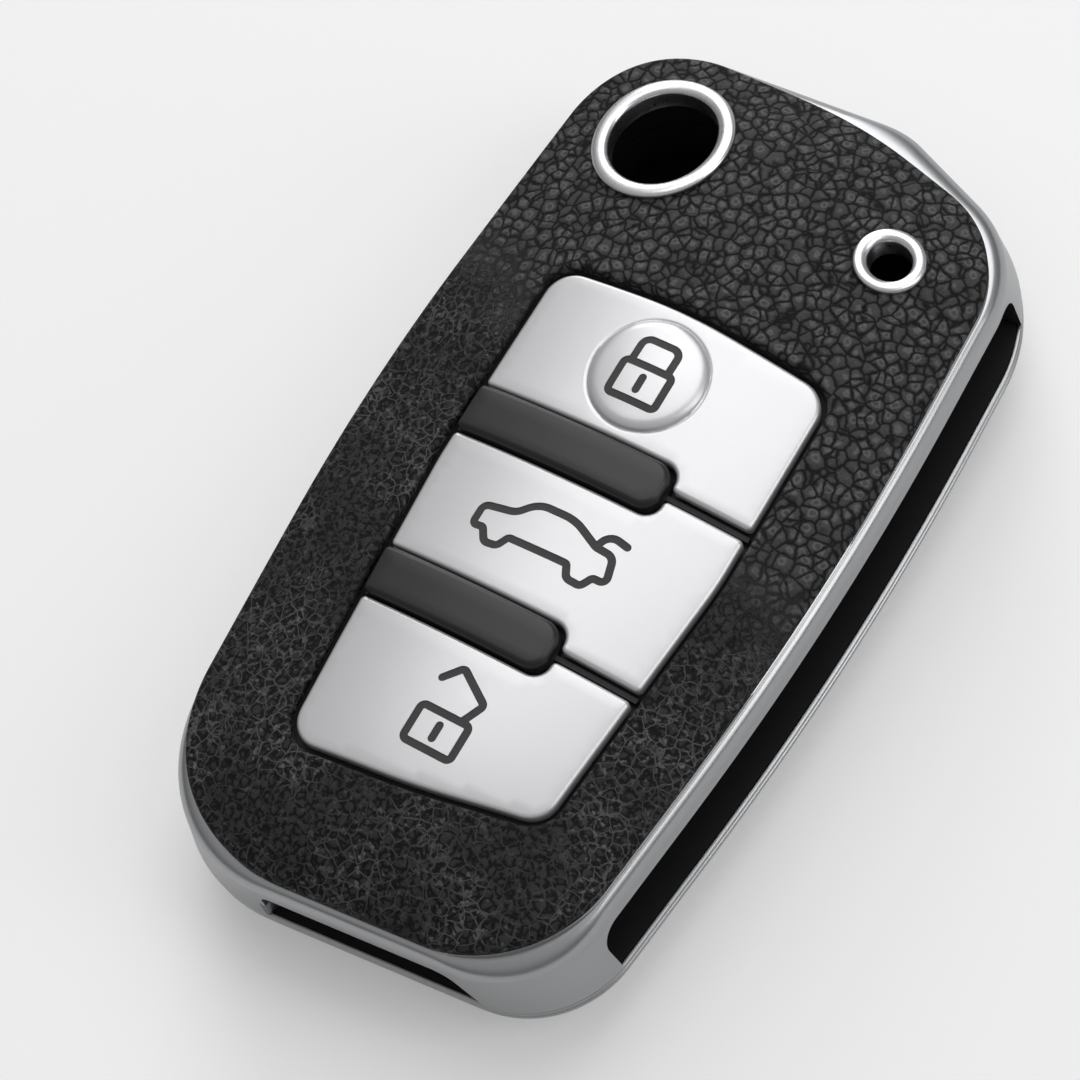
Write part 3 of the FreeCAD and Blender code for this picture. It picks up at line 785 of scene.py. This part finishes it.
def crown_height(x, y):
    top = face_end(x, face[left_shoulder], face[right_shoulder], crest_bow)
    bottom = face_end(x, face[left_heel], face[right_heel], 0)
    left = face_side(y, face[left_heel], face[left_shoulder], left_bow)
    right = face_side(y, face[right_heel], face[right_shoulder], right_bow)
    across = 1 - from_middle(x, left, right) ** 2
    along = 1 - abs(from_middle(y, bottom, top)) ** crown_end_power
    return leather_edge_height + crown_rise * across * along


def on_crown(rise):
    """Rule for heights a fixed rise above the crowned leather surface."""
    return lambda x, y: crown_height(x, y) + rise


panel_radii = [panel_bow_radius if i % 2 else panel_corner_radius for i in range(len(panel_corner_shares))]
panels = [
    (x * panel_half_width, panel_centre + y * panel_half_length, radius)
    for (x, y), radius in zip(panel_corner_shares, panel_radii)]
window = grown(panels, button_gap)
lamp_x = lamp_place_shares[0] * face_half_width
lamp_y = lamp_place_shares[1] * face_half_length
eyelet_bores = ((release_x, release_y, release_bore_radius), (lamp_x, lamp_y, lamp_bore_radius))

upper = new_shape()
foot = parting_height + parting_gap
lip_points, belt_points, foot_points = (
    np.array(outline_points(corners, face_counts))
    for corners in (grown(face, rail_lip), shell_outline(belt_flare, belt_corner_radii, 0), rim))
plate_edge = face_ring(upper, face, on_crown(plate_top))
rail_rings = [plate_edge]

# The rail is a quarter round from the leather out to the belt, and the wall runs on to the foot
for up, across in quarter(rail_steps):
    points = lip_points + (belt_points - lip_points) * across
    rail_rings.append(add_ring(upper, points, belt_height + (rail_height - belt_height) * up))
for step in range(1, flank_rings + 1):
    share = step / flank_rings
    points = belt_points + (foot_points - belt_points) * share
    rail_rings.append(add_ring(upper, points, belt_height + (foot + foot_radius - belt_height) * share))
for corners, height in ((grown(rim, -foot_radius), foot), (inside, foot), (inside, on_crown(plate_top))):
    rail_rings.append(face_ring(upper, corners, height))
add_band(upper, [*rail_rings, plate_edge])
dressed("front_plate", alloy)
front_shell = as_object("front_shell", upper, alloy)

# Slots for the key blade and the key ring are milled through the wall, open down to the parting line
slot_low = parting_height - parting_gap
blade_low, blade_high = (share * face_half_length for share in blade_slot_shares)
ring_left, ring_right = (share * face_half_width for share in ring_slot_shares)


def slot_cutter(corners, start, end, placed):
    """Closed prism of a slot; placed turns (along, height, depth) into x, y and z."""
    shape = new_shape()
    points = outline_points(corners, step_counts(corners, slot_spacing))
    near, far = (add_ring(shape, points, depth) for depth in (start, end))
    add_band(shape, [near, far])
    shape["faces"] += [tuple(near), tuple(far)]
    shape["points"] = [placed(*point) for point in shape["points"]]
    return as_object("slot_cutter", shape, alloy)


scoop_inner = face_end(ring_left, face[left_heel], face[right_heel], 0) + wall_thickness / 2
scoop_outer = scoop_inner - wall_thickness - rim_flare - scoop_length
slot_start, slot_end = slot_depth_shares
cutters = [
    slot_cutter(
        [(blade_low, slot_low, tight_radius), (blade_high, slot_low, tight_radius),
         (blade_high, slot_top, slot_corner_radius), (blade_low, slot_top, slot_corner_radius)],
        face_half_width * slot_start, face_half_width * slot_end,
        lambda along, height, depth: (depth, along, height)),
    slot_cutter(
        [(ring_left, slot_low, tight_radius), (ring_right + ring_slot_splay, slot_low, tight_radius),
         (ring_right, slot_top, slot_corner_radius), (ring_left, slot_top, slot_corner_radius / 2)],
        -face_half_length * slot_start, -face_half_length * slot_end,
        lambda along, height, depth: (along, depth, height)),
    slot_cutter(
        [(ring_left + scoop_length, scoop_inner, tight_radius), (ring_left, scoop_inner, tight_radius),
         (ring_left - scoop_length, scoop_outer, tight_radius),
         (ring_left + scoop_length, scoop_outer, tight_radius)],
        slot_low, parting_height + scoop_height, lambda x, y, height: (x, y, height))]
for cutter in cutters:
    modifier = front_shell.modifiers.new("slot", "BOOLEAN")
    modifier.operation = "DIFFERENCE"
    modifier.solver = "EXACT"
    modifier.object = cutter
milled = bpy.data.meshes.new_from_object(front_shell.evaluated_get(bpy.context.evaluated_depsgraph_get()))
front_shell.modifiers.clear()
front_shell.data = milled
milled.shade_smooth()
milled.set_sharp_from_angle(angle=smooth_angle)
for cutter in cutters:
    bpy.data.meshes.remove(cutter.data)
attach(front_shell, "front_half")
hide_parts("front_frame")

# Button pad
# A dark grey silicone sheet behind the window. Its ribs fill the grooves between the panels and
# carry the two bars; it is moulded, soft and matte.
silicone = varied(
    new_finish(
        "moulded_grey_silicone", "#2c2c2d", {"Roughness": 0.6, "IOR": 1.43, "Specular IOR Level": 0.4}),
    moulding_size, 2, colours=("#262627", "#323233"))
dressed("button_pad", silicone)

# Bars
# Two raised grip bars between the panels, moulded in dark grey ABS with a fine spark texture and
# chamfered edges, and glued to the pad.
bar_width = 4.0
bar_corner_radius = 1.5
bar_rise = 0.4
bar_centre_shares = (0.357, -0.352)
bar_end_shares = (0.460, 0.395)
bar_outer_radius = 0.45
bar_chamfer = 0.32
bar_edge_radius = 0.1
bar_foot = 0.4
bar_spacing = 0.8
panel_recess = 0.25
panel_top = -panel_recess
bar_centres = [panel_centre + share * panel_half_length for share in bar_centre_shares]
bar_ends = [share * panel_half_width for share in bar_end_shares]

# Moulded ABS: dark grey, with a spark-eroded texture that softens its gloss
spark_size = 0.3
spark_depth = 0.03
abs_grey = varied(
    new_finish(
        "spark_textured_grey_abs", "#1e1e1f", {"Roughness": 0.42, "IOR": 1.53, "Specular IOR Level": 0.5}),
    spark_size, 4, colours=("#141415", "#1c1c1d"), bump=(0.15, spark_depth))


def side_x(first, middle, last, y):
    """X of a side of the panels' outline at y, along its two straight runs."""
    low, high = (first, middle) if (y < middle[1]) == (first[1] < middle[1]) else (middle, last)
    return low[0] + (high[0] - low[0]) * (y - low[1]) / (high[1] - low[1])


def right_x(y):
    return side_x(panels[2], panels[3], panels[4], y)


def left_x(y):
    return side_x(panels[0], panels[7], panels[6], y)


bar_ease = bar_edge_radius / 3
bar_profile = [(-inset, on_crown(rise)) for inset, rise in (
    (0, panel_top - bar_foot), (0, bar_rise - bar_chamfer - bar_edge_radius),
    (bar_ease, bar_rise - bar_chamfer), (bar_chamfer - bar_ease, bar_rise - bar_ease),
    (bar_chamfer + bar_edge_radius, bar_rise))]
for name, centre, end in zip(("upper_bar", "lower_bar"), bar_centres, bar_ends):
    low, high = centre - bar_width / 2, centre + bar_width / 2
    outline = [
        (left_x(low), low, bar_outer_radius), (end, low, bar_corner_radius), (end, high, bar_corner_radius),
        (left_x(high), high, bar_outer_radius)]
    shape = new_shape()
    rings = add_profile(shape, outline, step_counts(outline, outline_spacing), bar_profile)
    add_band(shape, rings)
    add_fill(shape, [rings[0]], on_crown(panel_top - bar_foot), bar_spacing)
    add_fill(shape, [rings[-1]], on_crown(bar_rise), bar_spacing)
    bar = as_object(name + "_moulding", shape, abs_grey)
    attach(bar, "front_half")
    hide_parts(name)

# Button panels and signs
# Three pillow-edged panels moulded in ABS and sprayed satin silver, each with a stem through the pad.
# The signs are engraved and filled with dark paint; the lock has a raised dome round its sign.
panel_edge_radius = 0.34
panel_edge_steps = 5
panel_spacing = 0.8
panel_notch_radius = 1.3
panel_tip_radius = 0.42
bar_gap = 0.25
groove_width = 0.9
pad_thickness = 0.9
stop_gap = 0.1
button_travel = 0.6
stem_width = 11.0
stem_length = 5.4
stem_radius = 1.5
flange_reach = 1.0
flange_thickness = 0.6
spot_place_shares = (-0.032, 0.733)
spot_radius = 4.7
spot_step = 0.36
spot_rise = 0.29
spot_round = 0.8
spot_moat_width = 0.22
spot_moat_depth = 0.07
spot_spacing = 0.2
sign_stroke = 0.64
sign_depth = 0.3
sign_sink = 0.07
sign_spacing = 0.16
cap_steps = 8
padlock_width = 4.2
padlock_body_height = 3.0
padlock_body_radius = 0.4
shackle_width = 3.2
shackle_height = 2.2
shackle_radius = 0.7
keyhole_height = 1.75
open_lock_place_shares = (0.028, -0.795)
open_shackle_shares = ((0.31, 0.5), (0.52, 1.12), (-0.16, 1.74), (-0.44, 1.29))
car_place_shares = (-0.032, 0.019)
car_length = 12.4
car_height = 4.4
car_outline_shares = (
    (-0.474, -0.340), (-0.474, 0.059), (-0.260, 0.157), (-0.153, 0.471), (0.103, 0.483), (0.306, 0.212),
    (0.432, 0.195), (0.479, -0.293), (0.388, -0.302), (0.346, -0.525), (0.244, -0.512), (0.201, -0.276),
    (-0.212, -0.306), (-0.251, -0.527), (-0.341, -0.555), (-0.398, -0.320))
car_corner_radii = (0.35, 0.6, 1.5, 2.2, 4.0, 1.0, 0.8, 0.45, 0.35, 0.5, 0.6, 0.3, 0.35, 0.6, 0.6, 0.35)
car_lid_shares = ((0.302, 0.230), (0.345, 0.520), (0.474, 0.455))
car_lid_radius = 1.0
pad_top = plate_under - glue_gap
pad_under = pad_top - pad_thickness
panel_under = pad_top + stop_gap + button_travel

# Satin silver spray paint: fine metal flakes in a pale grey, even and softly shining. The flakes are drawn at
# a third of a millimetre, coarser than real ones, so that they show.
flake_size = 0.3
flake_depth = 0.02
silver_paint = varied(
    new_finish("satin_silver_paint", "#d0d0d2", {"Metallic": 0.6, "Roughness": 0.34, "IOR": 1.5}),
    flake_size, 2, roughness=(0.3, 0.4), bump=(0.04, flake_depth))

# Dark grey fill paint, matte and a little uneven where it was wiped off
fill_paint = varied(
    new_finish(
        "wiped_dark_fill_paint", "#333334", {"Roughness": 0.6, "IOR": 1.5, "Specular IOR Level": 0.4}),
    moulding_size, 3, colours=("#2c2c2d", "#3c3c3d"))


def on_panels(shares):
    return (shares[0] * panel_half_width, panel_centre + shares[1] * panel_half_length)


spot_x, spot_y = on_panels(spot_place_shares)
open_x, open_y = on_panels(open_lock_place_shares)
car_x, car_y = on_panels(car_place_shares)


def spot_height(x, y):
    """Dome on a rounded step, with a fine moat round it."""
    away = math.hypot(x - spot_x, y - spot_y)
    if away > spot_radius:
        moat = max(0, 1 - abs((away - spot_radius) / spot_moat_width * 2 - 1))
        return -spot_moat_depth * moat
    edge = min(1, (spot_radius - away) / spot_round)
    return spot_step * math.sqrt(1 - (1 - edge) ** 2) + spot_rise * (1 - (away / spot_radius) ** 2)


def open_path(points, radii):
    """Points along an open line with rounded corners."""
    corners = [(x, y, radius) for (x, y), radius in zip(points, radii)]
    made = [points[0]]
    for index in range(1, len(corners) - 1):
        centre, radius, start, sweep = corner_arc(corners, index)
        steps = math.ceil(abs(sweep) * radius / sign_spacing) + 2
        made += arc_points(centre, radius, start, sweep, steps)
    return [*made, points[-1]]


def stroke_loop(path):
    """Closed loop round an open line, half a stroke away, with round ends."""
    half = sign_stroke / 2
    sides = [[], []]
    for index, (x, y) in enumerate(path):
        along = unit(path[max(0, index - 1)], path[min(len(path) - 1, index + 1)])
        sides[0].append((x - along[1] * half, y + along[0] * half))
        sides[1].append((x + along[1] * half, y - along[0] * half))
    caps = []
    for end, before in ((path[0], path[1]), (path[-1], path[-2])):
        along = unit(before, end)
        start = math.atan2(-along[0], along[1])
        caps.append(arc_points(end, half, start, math.pi, cap_steps)[1:-1])
    return [*sides[1], *caps[1], *reversed(sides[0]), *caps[0]]


def closed_stroke(corners):
    """A closed sign line: its middle path and the two loops beside it."""
    counts = step_counts(corners, sign_spacing)
    path = outline_points(corners, counts)
    loops = [outline_points(grown(corners, side * sign_stroke / 2), counts) for side in (-1, 1)]
    return [*path, path[0]], loops


def rectangle(x, y, width, length, radius):
    left, right = x - width / 2, x + width / 2
    low, high = y - length / 2, y + length / 2
    return [(left, low, radius), (right, low, radius), (right, high, radius), (left, high, radius)]


def padlock(x, y, shackle):
    body_path, loops = closed_stroke(rectangle(x, y, padlock_width, padlock_body_height, padlock_body_radius))
    return [body_path, shackle], [*loops, stroke_loop(shackle)]


def keyhole(x, y):
    reach = (keyhole_height - sign_stroke) / 2
    path = [(x, y - reach), (x, y + reach)]
    return [path], [stroke_loop(path)]


lock_y = spot_y - shackle_height / 2
shackle_foot = lock_y + padlock_body_height / 2
shackle_left, shackle_right = (spot_x + side * shackle_width / 2 for side in (-1, 1))
closed_shackle = open_path(
    [(shackle_left, shackle_foot), (shackle_left, shackle_foot + shackle_height),
     (shackle_right, shackle_foot + shackle_height), (shackle_right, shackle_foot)],
    (0, shackle_radius, shackle_radius, 0))
open_shackle = open_path(
    [(open_x + a * padlock_width, open_y + b * padlock_body_height) for a, b in open_shackle_shares],
    (0, shackle_radius / 2, shackle_radius / 2, 0))
car_path, car_loops = closed_stroke([
    (car_x + a * car_length, car_y + b * car_height, radius)
    for (a, b), radius in zip(car_outline_shares, car_corner_radii)])
car_lid = open_path(
    [(car_x + a * car_length, car_y + b * car_height) for a, b in car_lid_shares], (0, car_lid_radius, 0))
upper_groove, lower_groove = bar_centres
notches = [(end + bar_gap, centre, bar_width / 2 + bar_gap) for end, centre in zip(bar_ends, bar_centres)]


def beside_bar(notch, side):
    """Edge of a panel that lies above (side 1) or below (side -1) a bar and its groove."""
    end, centre, half = notch
    rib = centre + side * groove_width / 2
    edge = centre + side * half
    return [
        (left_x(edge), edge, panel_tip_radius), (end, edge, panel_notch_radius),
        (end, rib, panel_tip_radius), (right_x(rib), rib, panel_tip_radius)][::side]


panel_feet = (upper_groove, lower_groove, panel_centre - panel_half_length)
panel_tops = (panel_centre + panel_half_length, upper_groove, lower_groove)
stem_centres = [
    (panel_tops[0] + panel_feet[0] + bar_width / 2) / 2, (panel_tops[1] + panel_feet[1]) / 2,
    (panel_tops[2] + panel_feet[2] - bar_width / 2) / 2]
short_bow = panel_bow_radius / 2
spot_ring_shares = (-1.7, -1.2, -1, -0.75, -0.5, -0.25, 0, 0.02, 0.07, 0.15, 0.27, 0.42, 0.6, 0.8, 1, 1.4)
spot_rings = [
    point for share in spot_ring_shares
    for point in circle_points(
        spot_x, spot_y, spot_radius - share * (spot_round if share > 0 else spot_moat_width), spot_spacing)]
buttons = {
    "lock": {
        "outline": [*beside_bar(notches[0], 1), *panels[4:7]], "lift": spot_height, "extra": spot_rings,
        "signs": {
            "lock_sign": padlock(spot_x, lock_y, closed_shackle), "lock_keyhole": keyhole(spot_x, lock_y)}},
    "trunk": {
        "outline": [
            *beside_bar(notches[1], 1), (*panels[3][:2], short_bow), *beside_bar(notches[0], -1),
            (*panels[7][:2], short_bow)],
        "signs": {"trunk_sign": ([car_path, car_lid], [*car_loops, stroke_loop(car_lid)])}},
    "unlock": {
        "outline": [*panels[:3], *beside_bar(notches[1], -1)],
        "signs": {
            "unlock_sign": padlock(open_x, open_y, open_shackle), "unlock_keyhole": keyhole(open_x, open_y)}}}


def near_path(places, paths):
    """Whether each place is within half a stroke of one of the lines."""
    least_square = 1e-12
    nearest = np.full(len(places), np.inf)
    for path in paths:
        for start, end in zip(np.array(path), np.array(path)[1:]):
            run = end - start
            share = np.clip(((places - start) @ run) / max(run @ run, least_square), 0, 1)
            nearest = np.minimum(nearest, np.linalg.norm(places - start - share[:, None] * run, axis=1))
    return nearest < sign_stroke / 2


def outer_edges(triangles):
    """Edges that only one of the triangles has, in its direction."""
    edges = [(t[i], t[(i + 1) % 3]) for t in triangles for i in range(3)]
    known = set(edges)
    return [edge for edge in edges if (edge[1], edge[0]) not in known]


panel_profile = [(0, on_crown(panel_under))]
for across, up in quarter(panel_edge_steps):
    rise = panel_top - panel_edge_radius * (1 - up)
    panel_profile.append((-panel_edge_radius * (1 - across), on_crown(rise)))
flange_top = pad_under - stop_gap
flange_under = flange_top - flange_thickness
stem_profile = [(reach, on_crown(rise)) for reach, rise in (
    (0, panel_under), (0, flange_top), (flange_reach, flange_top), (flange_reach, flange_under))]
for (name, button), stem_centre in zip(buttons.items(), stem_centres):
    lift = button.get("lift")
    outline = button["outline"]
    shape = new_shape()
    rings = add_profile(shape, outline, step_counts(outline, outline_spacing), panel_profile)
    add_band(shape, rings)

    # Top with the signs' grooves: triangles on a sign are let in, with walls down to the groove's floor
    loops = [[shape["points"][number][:2] for number in rings[-1]]]
    stroke_loops = [loop for paths, sign_loops in button["signs"].values() for loop in sign_loops]
    flat, numbers, triangles = triangulated(loops, panel_spacing, button.get("extra", ()), stroke_loops)
    middles = flat[triangles].mean(1)
    on_sign = np.zeros(len(triangles), int)
    for number, (paths, sign_loops) in enumerate(button["signs"].values(), 1):
        on_sign[near_path(middles, paths)] = number

    def top_height(point, sink=0):
        return crown_height(*point) + panel_top + (lift(*point) if lift else 0) - sink

    def add_points(target, wanted, sink):
        """Adds the flat points at a depth below the panel's surface; returns their numbers."""
        start = len(target["points"])
        target["points"] += [(*flat[i], top_height(flat[i], sink)) for i in wanted]
        return {i: start + order for order, i in enumerate(wanted)}

    plain = [tuple(t) for t in triangles[on_sign == 0]]
    ring_numbers = {i: rings[-1][n] for i, n in enumerate(numbers) if n is not None}
    used = {**add_points(shape, sorted({i for t in plain for i in t} - set(ring_numbers)), 0), **ring_numbers}
    shape["faces"] += [tuple(used[i] for i in t) for t in plain]
    for number, sign_name in enumerate(button["signs"], 1):
        let_in = [tuple(t) for t in triangles[on_sign == number]]
        wanted = sorted({i for t in let_in for i in t})
        borders = outer_edges(let_in)
        floor_numbers = add_points(shape, wanted, sign_depth)
        shape["faces"] += [tuple(floor_numbers[i] for i in t) for t in let_in]
        shape["faces"] += [(used[a], used[b], floor_numbers[b], floor_numbers[a]) for a, b in borders]
        fill = new_shape()
        fill_top = add_points(fill, wanted, sign_sink)
        fill_under = add_points(fill, wanted, sign_depth - glue_gap)
        fill["faces"] += [tuple(fill_top[i] for i in t) for t in let_in]
        fill["faces"] += [tuple(fill_under[i] for i in reversed(t)) for t in let_in]
        fill["faces"] += [(fill_top[a], fill_top[b], fill_under[b], fill_under[a]) for a, b in borders]
        sign = as_object(sign_name + "_paint", fill, fill_paint)
        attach(sign, name + "_key")
        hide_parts(sign_name)

    # Underside: a stem through the pad with a flange that keeps the button in
    stem = rectangle(0, stem_centre, stem_width, stem_length, stem_radius)
    stem_rings = add_profile(shape, stem, step_counts(stem, outline_spacing), stem_profile)
    add_band(shape, stem_rings)
    add_fill(shape, [rings[0], stem_rings[0]], on_crown(panel_under), plate_spacing)
    add_fill(shape, [stem_rings[-1]], on_crown(flange_under), plate_spacing)
    panel = as_object(name + "_panel", shape, silver_paint)
    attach(panel, name + "_key")
    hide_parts(name + "_button")

# Leather front
# Black pebbled leather over the crowned plate, cut round the panels and the eyelets, with its edges
# rolled down over the rail's lip and into the window.
front_grain_spacing = 0.22
leather_overhang = 0.15
leather_shift = (-0.15, 0.1)
front_skin = new_shape()
front_outline = [
    (x + leather_shift[0], y + leather_shift[1], radius) for x, y, radius in grown(face, leather_overhang)]
front_counts = step_counts(front_outline, leather_outline_spacing)
window_counts = step_counts(window, leather_outline_spacing)
skin_under = on_crown(plate_top + glue_gap)
edge_under, edge_top = rolled_edge(front_skin, front_outline, front_counts, 1, on_crown(0), skin_under)
window_under, window_edge = rolled_edge(front_skin, window, window_counts, -1, on_crown(0), skin_under)
skin_tops, skin_bottoms = [edge_top, window_edge], [edge_under, window_under]
for x, y, radius in eyelet_bores:
    points = circle_points(x, y, radius + eyelet_wall + glue_gap, leather_outline_spacing)
    skin_tops.append(add_ring(front_skin, points, on_crown(0)))
    skin_bottoms.append(add_ring(front_skin, points, skin_under))
    add_band(front_skin, [skin_tops[-1], skin_bottoms[-1]])
front_inner = add_fill(front_skin, skin_tops, on_crown(0), front_grain_spacing)
add_fill(front_skin, skin_bottoms, skin_under, plate_spacing)
front_panel = as_object("front_leather_panel", front_skin, leather)
pressed(front_panel, front_inner, skin_tops)
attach(front_panel, "front_half")
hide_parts("front_leather")

# Eyelets
# Two turned and polished alloy grommets that ring the holes for the release button and the lamp:
# a rounded flange on the leather and a barrel down through the plate.
release_flange_radius = 5.9
lamp_flange_radius = 2.8
eyelet_rise = 0.45
eyelet_spacing = 0.3
flange_edge_shares = (
    (1, 0.1), (1, 0.45), (0.955, 0.72), (0.84, 0.93), (0.66, 1), (0.42, 0.97), (0.2, 0.8), (0.07, 0.45))
turning_size = 0.2

# Polished aluminium: bright, with turning marks that leave its gloss a little uneven
polished = varied(
    new_finish("turned_polished_alloy", "#dcdcde", {"Metallic": 1, "Roughness": 0.28}),
    turning_size, 2, roughness=(0.24, 0.34))
flange_radii = (release_flange_radius, lamp_flange_radius)
for name, (x, y, bore), flange in zip(("release_eyelet", "lamp_eyelet"), eyelet_bores, flange_radii):
    shape = new_shape()
    barrel = bore + eyelet_wall
    profile = [(bore + (flange - bore) * a, eyelet_rise * b) for a, b in flange_edge_shares]
    profile += [(bore, 0), (bore, plate_under), (barrel, plate_under), (barrel, glue_gap)]
    turns = math.ceil(math.tau * flange / eyelet_spacing)
    rings = [
        add_ring(shape, arc_points((x, y), radius, 0, math.tau, turns)[:-1], on_crown(rise))
        for radius, rise in profile]
    add_band(shape, [*rings, rings[0]])
    eyelet = as_object(name + "_ring", shape, polished)
    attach(eyelet, "front_half")
    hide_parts(name)

# Stage
# Pale studio floor, a soft lamp overhead, one low behind the upper left, a tall one at the right, air that
# is brighter overhead than near the floor, and the camera. Lengths here are metres, turns are degrees.
floor_half = 3.0
camera_place = (0.090145, -0.068019, 0.220573)
camera_turns = (25.4702, 12.2281, 31.6792)
camera_near = 0.01
lens_length = 103.31
sensor_width = 36
lamps = {
    "overhead_softbox": {"place": (-0.15, 0.50, 0.85), "sizes": (0.8, 0.8), "power": 3.75},
    "back_softbox": {"place": (-0.55, 0.80, 0.40), "sizes": (0.5, 0.5), "power": 2.8},
    "right_softbox": {"place": (0.72, 0.24, 0.60), "sizes": (0.35, 0.9), "power": 2.2}}
floor_mesh = bpy.data.meshes.new("studio_floor")
floor_corners = [(x * floor_half, y * floor_half, 0) for x, y in ((-1, -1), (1, -1), (1, 1), (-1, 1))]
floor_mesh.from_pydata(floor_corners, [], [(0, 1, 2, 3)])
studio_floor = bpy.data.objects.new("studio_floor", floor_mesh)
bpy.context.scene.collection.objects.link(studio_floor)

# Matte studio paper, which the camera sees a little paler than the lamps leave it
paper, paper_tree, paper_shader = new_finish(
    "pale_studio_paper", "#e4e4e4", {"Roughness": 0.9, "Specular IOR Level": 0})
paper_shader.inputs["Emission Color"].default_value = linear("#ececec")
seen = add_node(paper_tree, "ShaderNodeLightPath").outputs
seen_at_all = add_node(paper_tree, "ShaderNodeMath", {
    "operation": "MAXIMUM", 0: seen["Is Camera Ray"], 1: seen["Is Transmission Ray"]})
paper_glow = add_node(paper_tree, "ShaderNodeMath", {"operation": "MULTIPLY", 0: seen_at_all, 1: 0.24})
paper_tree.links.new(paper_glow.outputs[0], paper_shader.inputs["Emission Strength"])
floor_mesh.materials.append(paper)

world = bpy.data.worlds.new("studio_air")
world.use_nodes = True
air = world.node_tree
air_background = air.nodes["Background"]
air_background.inputs["Color"].default_value = linear("#f4f4f4")
air_height = add_node(
    air, "ShaderNodeSeparateXYZ", {0: add_node(air, "ShaderNodeTexCoord").outputs["Generated"]})
air_strength = add_node(air, "ShaderNodeMapRange", {
    "From Max": 0.7, "To Min": 0.12, "To Max": 0.47, "Value": air_height.outputs["Z"]})
air.links.new(air_strength.outputs[0], air_background.inputs["Strength"])
bpy.context.scene.world = world

camera_data = bpy.data.cameras.new("photo_camera")
camera_data.lens = lens_length
camera_data.sensor_width = sensor_width
camera_data.clip_start = camera_near
camera = bpy.data.objects.new("photo_camera", camera_data)
camera.location = camera_place
camera.rotation_euler = [math.radians(turn) for turn in camera_turns]
bpy.context.scene.collection.objects.link(camera)
bpy.context.scene.camera = camera

for name, lamp in lamps.items():
    light = bpy.data.lights.new(name, "AREA")
    light.shape = "RECTANGLE"
    light.size, light.size_y = lamp["sizes"]
    light.energy = lamp["power"]
    made = bpy.data.objects.new(name, light)
    made.location = lamp["place"]
    made.rotation_euler = (-made.location).to_track_quat("-Z", "Y").to_euler()
    bpy.context.scene.collection.objects.link(made)
bpy.context.scene.view_settings.view_transform = "Standard"

bpy.context.view_layer.update()
